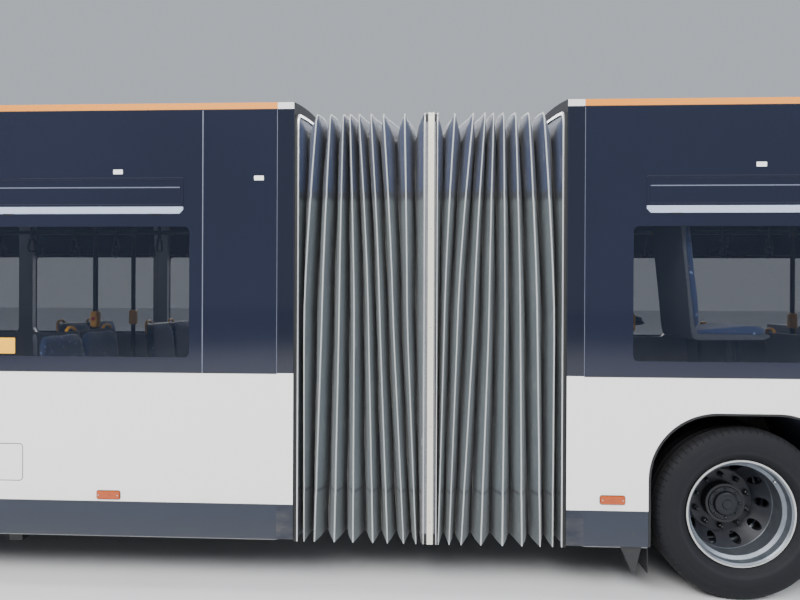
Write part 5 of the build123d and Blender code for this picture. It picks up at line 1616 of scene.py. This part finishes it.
def make_leaf(number, name):
    body = "door_%d_%s_leaf" % (number, name)
    door_x = DOORS[number - 1]
    way = 1 if name == "rear" else -1
    near = door_x - way * 0.613
    far = door_x - way * 0.003
    pin_x = door_x - way * 0.3325
    roller_x = far - way * 0.007
    place = Place((0, LEAF_OUTER, 0), (1, 0, 0), (0, 0, 1))
    u0, u1 = sorted((near, far))
    low, high = LEAF_Z
    edge = ring(u0, low, u1, high, 0.003)
    pane_box = (u0 + 0.0225, low + 0.0225, u1 - 0.0225, high - 0.0225)
    form = Form()
    hole = ring(u0 + LEAF_BORDER, low + LEAF_BORDER, u1 - LEAF_BORDER, high - LEAF_BORDER, 0.030)
    form.band(place, edge, hole, -LEAF_DEPTH, -0.0082, "gloss", 0.001)
    form.band(place, edge, ring(*pane_box, 0.002), -0.0090, 0.0, "gloss", 0.0012)
    inner = Place((0, LEAF_INNER, 0), (-1, 0, 0), (0, 0, 1))
    line = ring(-u1 + 0.038, low + 0.038, -u0 - 0.038, high - 0.038, 0.036)
    form.band(inner, line, inset(line, 0.012), -0.004, 0.0022, "rubber", 0.001)
    for y in (LEAF_OUTER + 0.006, LEAF_INNER - 0.012):
        form.box((far - 0.0035, y, low + 0.004), (far + way * 0.0028, y + 0.006, high - 0.004),
                 "rubber", 0.001)
    for z in (low, high - BRACKET):
        form.box((pin_x - 0.014, LEAF_INNER - BRACKET, z), (pin_x + 0.014, PIN_Y, z + BRACKET),
                 "dark_steel", 0.001)
        form.lathe((pin_x, PIN_Y, z), (0, 0, 1), [(0.0, 0.0), (0.0, 0.014), (BRACKET, 0.014), (BRACKET, 0.0)],
                   "dark_steel", 24)
    add_pin(form, pin_x, PIN_Y, 0.3655, low + 0.001, 0.008)
    add_pin(form, pin_x, PIN_Y, high - 0.001, 2.448, 0.008)
    form.box((roller_x - 0.007, LEAF_INNER - BRACKET, high - BRACKET), (roller_x + 0.007, TRACK_Y, high),
             "dark_steel", 0.001)
    add_pin(form, roller_x, TRACK_Y, high - BRACKET, 2.448, 0.007)
    bar_x = near + way * 0.080
    for z in (1.02, 1.86):
        form.tube([(bar_x, LEAF_INNER - 0.002, z), (bar_x, LEAF_INNER + 0.022, z)], 0.007, "dark_steel", 10)
    form.tube([(bar_x, LEAF_INNER + 0.022, 0.96), (bar_x, LEAF_INNER + 0.022, 1.92)], 0.011, "steel", 14)
    frame_piece = form.make(body + "_frame", body)
    glass = Form()
    clear = (u0 + 0.072, low + 0.075, u1 - 0.072, high - 0.075, 0.040)
    add_pane(glass, place, pane_box, clear, "door_glass")
    pane = glass.make(body + "_pane", body)
    for piece in (frame_piece, pane):
        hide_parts(body)


def make_doorways():
    for end, numbers in (("front", (1, 2)), ("rear", (3,))):
        form = Form()
        for number in numbers:
            x = DOORS[number - 1]
            form.box((x - 0.612, -1.272, 0.3605), (x + 0.612, -1.226, 0.3765), "rubber", 0.003)
            form.box((x - 0.612, -1.224, 0.3602), (x + 0.612, -1.217, 0.3640), "aluminium", 0.001)
            form.box((x - 0.612, -1.266, 2.4400), (x + 0.612, -1.232, 2.4590), "rubber", 0.004)
            form.box((x - 0.60, -1.150, 0.3600), (x + 0.60, -1.090, 0.3615), "yellow", 0.0004)
            form.slab(RIGHT_SIDE, x + 0.655, 1.150, x + 0.700, 1.195, 0.0, 0.003, "black", 0.008, 0.001)
            form.lathe((x + 0.6775, -1.2778, 1.1725), (0, -1, 0),
                       [(0.0, 0.014), (0.004, 0.013), (0.004, 0.0)], "steel", 24)
        form.make(end + "_doorway_trim", SECTIONS[end])


for door in (1, 2, 3):
    for leaf_name in ("rear", "front"):
        make_leaf(door, leaf_name)
make_doorways()


# Seats: moulded shells, padded cushions and backs, grab loops and pedestals
CUSHION = [(0.020, -0.052), (0.200, -0.056), (0.400, -0.054), (0.422, -0.040), (0.420, -0.012),
           (0.385, 0.006), (0.290, 0.006), (0.180, -0.004), (0.080, -0.012), (0.020, -0.022)]
BACKREST = [(0.030, -0.018), (0.050, 0.000), (0.050, 0.040), (0.042, 0.130), (0.034, 0.200), (0.020, 0.300),
            (0.006, 0.440), (-0.006, 0.560), (-0.016, 0.610), (-0.034, 0.622), (-0.046, 0.604),
            (-0.040, 0.500), (-0.020, 0.280), (0.004, 0.060)]
SEAT_SHELL = [(0.005, -0.060), (-0.006, -0.020), (-0.030, 0.220), (-0.055, 0.460), (-0.073, 0.620),
              (-0.070, 0.640), (-0.058, 0.644), (-0.048, 0.632), (-0.045, 0.600), (-0.040, 0.460),
              (-0.016, 0.220), (0.010, 0.000), (0.030, -0.050), (0.380, -0.056), (0.425, -0.046),
              (0.428, -0.056), (0.395, -0.070), (0.030, -0.074)]
PAD_SECTIONS = [(-1.0, 0.35), (-0.985, 0.70), (-0.94, 0.92), (-0.82, 1.0), (-0.45, 1.02), (0.0, 1.0),
                (0.45, 1.02), (0.82, 1.0), (0.94, 0.92), (0.985, 0.70), (1.0, 0.35)]
SHELL_SECTIONS = [(-1.0, 0.96), (-0.98, 1.0), (0.98, 1.0), (1.0, 0.96)]


def add_swept(form, profile, at, half, sections, material):
    """A side profile (forward, up) carried across a seat, each section shrunk towards its middle."""
    mid_u = sum(p[0] for p in profile) / len(profile)
    mid_v = sum(p[1] for p in profile) / len(profile)
    loops = []
    for share, size in sections:
        loops.append([at + Vector((mid_u + (u - mid_u) * size, share * half, mid_v + (v - mid_v) * size))
                      for u, v in profile])
    form.solid(loops, material)


def add_seat(pads, frames, at, base, aisle):
    """at is the cushion's rear top corner at the middle of the seat; aisle is the way to the aisle."""
    add_swept(pads, CUSHION, at, 0.208, PAD_SECTIONS, "seat")
    add_swept(pads, BACKREST, at, 0.205, PAD_SECTIONS, "seat")
    add_swept(frames, SEAT_SHELL, at, 0.214, SHELL_SECTIONS, "shell")
    path = [at + Vector(p) for p in ((-0.058, aisle * 0.205, 0.560), (-0.062, aisle * 0.212, 0.630),
                                     (-0.064, aisle * 0.190, 0.662), (-0.064, aisle * 0.130, 0.668),
                                     (-0.062, aisle * 0.095, 0.630))]
    frames.tube(fillet_path(path, 0.03, 3), 0.010, "yellow", 8)
    top = at.z - 0.060
    for x0, x1, half, z0, z1, bevel in ((0.130, 0.280, 0.026, base + 0.004, top, 0.008),
                                        (0.100, 0.310, 0.060, base, base + 0.007, 0.003),
                                        (0.060, 0.360, 0.170, top - 0.016, top, 0.005)):
        frames.box((at.x + x0, at.y - half, z0), (at.x + x1, at.y + half, z1), "dark_steel", bevel)


def make_seats(end):
    pads = Form()
    frames = Form()
    for low, high, _, _ in solids_of(end + "_seats"):
        middle = (low.y + high.y) / 2
        at = Vector((low.x + 0.075, middle, low.z + 0.440))
        add_seat(pads, frames, at, low.z, -math.copysign(1, middle))
    cushions = pads.make(end + "_seat_pads", SECTIONS[end], angle=60)
    shells = frames.make(end + "_seat_frames", SECTIONS[end])
    for piece in (cushions, shells):
        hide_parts(end + "_seats")


for end in SECTIONS:
    make_seats(end)


# The driver's place: podium, dashboard, wheel, seat and a half-glazed screen
PODIUM = 0.560
WHEEL_HUB = Vector((8.285, 0.640, 1.160))
WHEEL_RADIUS = 0.212


def add_dashboard(form):
    dash = [(8.655, 0.362), (8.655, 1.000), (8.565, 1.130), (8.500, 1.142), (8.365, 1.120), (8.345, 1.040),
            (8.505, 0.960), (8.505, 0.362)]
    inner = [(x + (8.5 - x) * 0.02, z - (z - 0.8) * 0.02) for x, z in dash]
    lines = ((inner, 0.180), (dash, 0.190), (dash, 0.925), (inner, 0.935))
    form.solid([[(x, y, z) for x, z in line] for line, y in lines], "dash")
    form.box((8.395, 0.470, 1.118), (8.545, 0.810, 1.182), "dash", 0.015, 0.03)
    face = Place((8.392, 0.640, 1.150), (0, -1, 0), (0, 0, 1))
    form.slab(face, -0.150, -0.024, 0.150, 0.024, 0.0, 0.004, "gloss", 0.010, 0.002)
    form.slab(face, -0.300, -0.060, -0.190, 0.000, 0.0, 0.006, "black", 0.004, 0.002)
    for i in range(9):
        y = 0.250 + 0.022 * i
        color = "white" if i % 4 == 1 else "gloss"
        form.box((8.388, y - 0.008, 1.072), (8.396, y + 0.008, 1.094), color, 0.002)


def add_steering_wheel(form):
    axis = Vector((-1, 0, 1)).normalized()
    rim = [(0.0145 * math.sin(a), WHEEL_RADIUS + 0.0145 * math.cos(a)) for a in angles(12)]
    form.lathe(WHEEL_HUB, axis, rim, "rubber", 56, ends_meet=True)
    form.lathe(WHEEL_HUB, axis, [(-0.030, 0.040), (-0.006, 0.062), (0.004, 0.058), (0.008, 0.0)], "dash", 32)
    side = Vector((0, 1, 0))
    down = axis.cross(side)
    for turn in (0.25, math.pi - 0.25, math.pi * 1.5):
        way = side * math.cos(turn) - down * math.sin(turn)
        spoke = [WHEEL_HUB + way * 0.045 - axis * 0.008, WHEEL_HUB + way * 0.130 - axis * 0.004,
                 WHEEL_HUB + way * 0.206]
        form.tube(spoke, 0.012, "dash", 8, flat=0.5)
    form.tube([Vector((8.445, 0.640, 1.000)), WHEEL_HUB - axis * 0.02], 0.032, "dash", 16)


def add_cab_walls(form):
    """The podium with its yellow edge, the half-glazed screen behind the driver, and the pedals."""
    form.box((7.425, 0.250, 0.362), (8.345, 1.213, PODIUM), "vinyl", 0.006)
    form.box((7.425, 0.244, PODIUM - 0.030), (8.345, 0.252, PODIUM + 0.002), "yellow", 0.002)
    form.box((7.366, 0.252, 0.362), (7.394, 1.212, 1.300), "panel", 0.006)
    screen = Place((7.380, 0, 0), (0, 1, 0), (0, 0, 1))
    form.slab(screen, 0.275, 1.300, 1.205, 2.095, -0.004, 0.004, "pane", 0.03)
    form.tube([(7.380, 0.262, 0.362), (7.380, 0.262, 2.098)], 0.016, "dark_steel", 12)
    form.tube([(7.380, 0.262, 2.100), (7.380, 1.205, 2.100)], 0.012, "dark_steel", 12)
    for y in (0.560, 0.690):
        form.box((8.350, y, 0.580), (8.372, y + 0.050, 0.690), "rubber", 0.004)


def add_driver_seat(form, pads):
    """A padded seat with a head-rest on two posts, over a base and its folded boot."""
    at = Vector((7.585, 0.640, 1.000))
    add_swept(pads, CUSHION, at, 0.232, PAD_SECTIONS, "seat")
    add_swept(pads, BACKREST, at, 0.228, PAD_SECTIONS, "seat")
    rest = [(u * 0.8 + v * 0.1 - 0.060, 0.560 + v * 0.28) for u, v in BACKREST]
    add_swept(pads, rest, at + Vector((0, 0, 0.07)), 0.110, PAD_SECTIONS, "seat")
    add_swept(form, SEAT_SHELL, at, 0.236, SHELL_SECTIONS, "shell")
    form.box((7.640, 0.480, PODIUM + 0.010), (7.960, 0.800, PODIUM + 0.060), "dark_steel", 0.01)
    for fold in range(5):
        z = PODIUM + 0.060 + fold * 0.058
        form.box((7.670, 0.500, z), (7.930, 0.780, z + 0.050), "rubber", 0.018, 0.03)
    for y, top in ((0.600, 1.630), (0.680, 1.660)):
        form.tube([(7.545, y, top - 0.05), (7.530, y, top)], 0.006, "steel", 8)


def make_driver_station():
    form = Form()
    pads = Form()
    add_dashboard(form)
    add_steering_wheel(form)
    add_cab_walls(form)
    add_driver_seat(form, pads)
    cushions = pads.make("driver_seat_pads", "front_section", angle=60)
    cab = form.make("driver_cab", "front_section")
    for piece in (cushions, cab):
        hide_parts("driver_station")


make_driver_station()


# Fittings of the saloon: the posts' sockets and sleeves, stop buttons, straps and ceiling lamps
RAIL_Y = 0.285
RAIL_Z = 2.200
POSTS = {"front": (0.880, 2.330, 4.632, 5.585), "rear": (-2.105, -3.000, -4.980, -6.280)}
RUNS = {"front": (0.45, 7.10), "rear": (-7.10, -1.60)}
STRAP_STEP = 0.32
SOCKET = [(0.0, 0.040), (0.008, 0.038), (0.012, 0.024), (0.030, 0.020)]


def add_post_fittings(form, x, y, side):
    """A post's sockets at floor and ceiling, its sleeve on the rail, and a stop button."""
    for z, way in ((FLOOR_TOP, 1), (CEILING, -1)):
        form.lathe((x, y, z), (0, 0, way), SOCKET, "dark_steel", 24)
    form.lathe((x, y, RAIL_Z - 0.035), (0, 0, 1),
               [(0.0, 0.0185), (0.004, 0.024), (0.066, 0.024), (0.070, 0.0185)], "black", 20)
    form.box((x - 0.026, y - 0.030, 1.440), (x + 0.026, y + 0.030, 1.560), "yellow", 0.010, 0.012)
    form.lathe((x, y + side * 0.030, 1.505), (0, side, 0), [(0.0, 0.014), (0.004, 0.013), (0.004, 0.0)],
               "red_lens", 20)


def add_strap(form, x, y):
    form.tube([(x, y, RAIL_Z + 0.016), (x, y, RAIL_Z - 0.110)], 0.013, "rubber", 8, flat=0.25)
    form.lathe((x, y, RAIL_Z), (1, 0, 0),
               [(-0.016, 0.0175), (-0.016, 0.021), (0.016, 0.021), (0.016, 0.0175)], "rubber", 20)
    grip = [Vector((x, y + 0.045 * u, RAIL_Z - 0.110 - 0.090 * v))
            for u, v in ((-0.6, 0.05), (-1.0, 0.85), (-0.6, 1.0), (0.6, 1.0), (1.0, 0.85), (0.6, 0.05))]
    form.tube(grip, 0.0075, "black", 8, loop=True)


def make_saloon(end):
    form = Form()
    start, stop = RUNS[end]
    x0, x1 = start - 0.05, stop + 0.05
    for side in (-1, 1):
        y = side * RAIL_Y
        for x in POSTS[end]:
            add_post_fittings(form, x, y, side)
        for i in range(int((stop - start) / STRAP_STEP) + 1):
            x = start + 0.10 + i * STRAP_STEP
            if x <= stop - 0.05 and all(abs(x - post) >= 0.06 for post in POSTS[end]):
                add_strap(form, x, y)
        form.box((x0, side * 0.560, 2.6800), (x1, side * 0.660, 2.6898), "white", 0.003)
        for near, far in ((0.552, 0.560), (0.660, 0.668)):
            form.box((x0, side * near, 2.6790), (x1, side * far, 2.6898), "aluminium", 0.001)
    form.make(end + "_saloon_fittings", SECTIONS[end])


for end in SECTIONS:
    make_saloon(end)


# The roof: hatches, seams, and grilles and fans in the air-conditioning housings
ROOF_HATCHES = {"front": (1.95, 7.35), "rear": (-2.60, -4.45, -8.05)}
UNITS = {"front": (3.75, 6.15), "rear": (-7.45, -5.25)}
UNIT_TOP = 3.090


def roof_z(y):
    """The roof's arch."""
    return 2.900 - 0.1425 * (abs(y) / HALF) ** 2


FAN_FLOOR = UNIT_TOP - 0.0445
FAN_BLADE = ((0.050, 0.030, 0.012), (0.140, 0.042, 0.014), (0.232, 0.050, 0.010))


def add_roof_seam(form, x):
    section = ((-0.003, -0.004), (-0.003, 0.0016), (0.003, 0.0016), (0.003, -0.004))
    loops = [[(x + dx, y / 10, roof_z(y / 10) + dz) for dx, dz in section] for y in range(-12, 13)]
    form.solid(loops, "seam")


def add_roof_hatch(form, x):
    form.box((x - 0.36, -0.36, 2.870), (x + 0.36, 0.36, 2.912), "rubber", 0.008, 0.05)
    form.box((x - 0.34, -0.34, 2.905), (x + 0.34, 0.34, 2.948), "white_paint", 0.014, 0.06, 5)
    form.box((x - 0.20, -0.20, 2.940), (x + 0.20, 0.20, 2.954), "white_paint", 0.006, 0.04)


def add_unit_grille(form, x, side):
    """A black panel with seven white slats on a side of the roof housing."""
    form.box((x - 0.117, side * 0.736, 2.914), (x + 0.117, side * 0.742, 3.026), "black", 0.001)
    for row in range(7):
        z = 2.918 + row * 0.0155
        form.box((x - 0.118, side * 0.742, z), (x + 0.118, side * 0.7575, z + 0.0040), "white_paint", 0.0012)


def add_fan_guard(form, x):
    """Wire rings over a fan, carried by eight spokes."""
    for radius in (0.085, 0.125, 0.165, 0.205, 0.246):
        path = [(x + radius * math.cos(a), radius * math.sin(a), UNIT_TOP - 0.006) for a in angles(40)]
        form.tube(path, 0.0026, "black", 6, loop=True)
    for a in angles(8, 0.5):
        spoke = [(x + r * math.cos(a), r * math.sin(a), UNIT_TOP - 0.009) for r in (0.05, 0.252)]
        form.tube(spoke, 0.0026, "black", 6)


def add_fan(form, x):
    """A fan in its well: floor, hub, seven tilted blades and the guard."""
    form.lathe((x, 0, FAN_FLOOR), (0, 0, 1), [(0.0, 0.249), (0.001, 0.0)], "black", 40)
    form.lathe((x, 0, FAN_FLOOR), (0, 0, 1), [(0.0, 0.060), (0.018, 0.058), (0.024, 0.045), (0.024, 0.0)],
               "dark_steel", 28)
    for a in angles(7):
        way = Vector((math.cos(a), math.sin(a), 0))
        across = Vector((-math.sin(a), math.cos(a), 0))
        loops = []
        for radius, half, lift in FAN_BLADE:
            base = Vector((x, 0, FAN_FLOOR + 0.010)) + way * radius
            low, high = base + across * -half, base + across * half
            loops.append([low, high + Vector((0, 0, lift)), high + Vector((0, 0, lift + 0.002)),
                          low + Vector((0, 0, 0.002))])
        form.solid(loops, "dark_steel")
    add_fan_guard(form, x)


def make_roof_details(end):
    form = Form()
    start, stop = WALLS[end]
    unit_start, unit_stop = UNITS[end]
    middle = (unit_start + unit_stop) / 2
    inner = [start + 1.25 * i for i in range(1, 7) if start + 1.25 * i < stop - 0.3]
    for x in [start + 0.02] + inner + [stop - 0.02]:
        if not unit_start - 0.02 < x < unit_stop + 0.02:
            add_roof_seam(form, x)
    for x in ROOF_HATCHES[end]:
        add_roof_hatch(form, x)
    for i in range(6):
        for side in (-1, 1):
            add_unit_grille(form, middle + (i - 2.5) * 0.32, side)
    for x in (middle - 0.45, middle + 0.45):
        add_fan(form, x)
    for x in (middle - 0.95, middle, middle + 0.95):
        form.box((x - 0.0025, -0.66, UNIT_TOP - 0.0005), (x + 0.0025, 0.66, UNIT_TOP + 0.0008),
                 "seam", 0.0003)
    form.make(end + "_roof_details", SECTIONS[end])


for end in SECTIONS:
    make_roof_details(end)


# The underbody: air tanks with straps, and the drive shaft
def add_tank(form, x0, x1, side):
    """An air tank lying along the bus, held by two straps."""
    at, radius = (side * 0.62, 0.225), 0.085
    length = x1 - x0
    shell = [(0.0, 0.0), (0.006, radius * 0.6), (0.030, radius * 0.96), (0.050, radius),
             (length - 0.050, radius), (length - 0.030, radius * 0.96), (length - 0.006, radius * 0.6),
             (length, 0.0)]
    form.lathe((x0, *at), (1, 0, 0), shell, "chassis", 28)
    strap = [(0.0, radius + 0.001), (0.002, radius + 0.004), (0.028, radius + 0.004), (0.030, radius + 0.001)]
    for x in (x0 + 0.16, x1 - 0.16):
        form.lathe((x - 0.015, *at), (1, 0, 0), strap, "dark_steel", 28)


def make_underbody():
    form = Form()
    for side in (-1, 1):
        add_tank(form, 4.62, 5.36, side)
        add_tank(form, 2.20, 3.00, side)
    form.make("front_air_tanks", "front_section")
    form = Form()
    for side in (-1, 1):
        add_tank(form, -3.05, -2.35, side)
    form.tube([(-7.20, 0.0, 0.420), (-5.72, 0.0, 0.300)], 0.045, "dark_steel", 20)
    form.make("rear_air_tanks", "rear_section")


make_underbody()
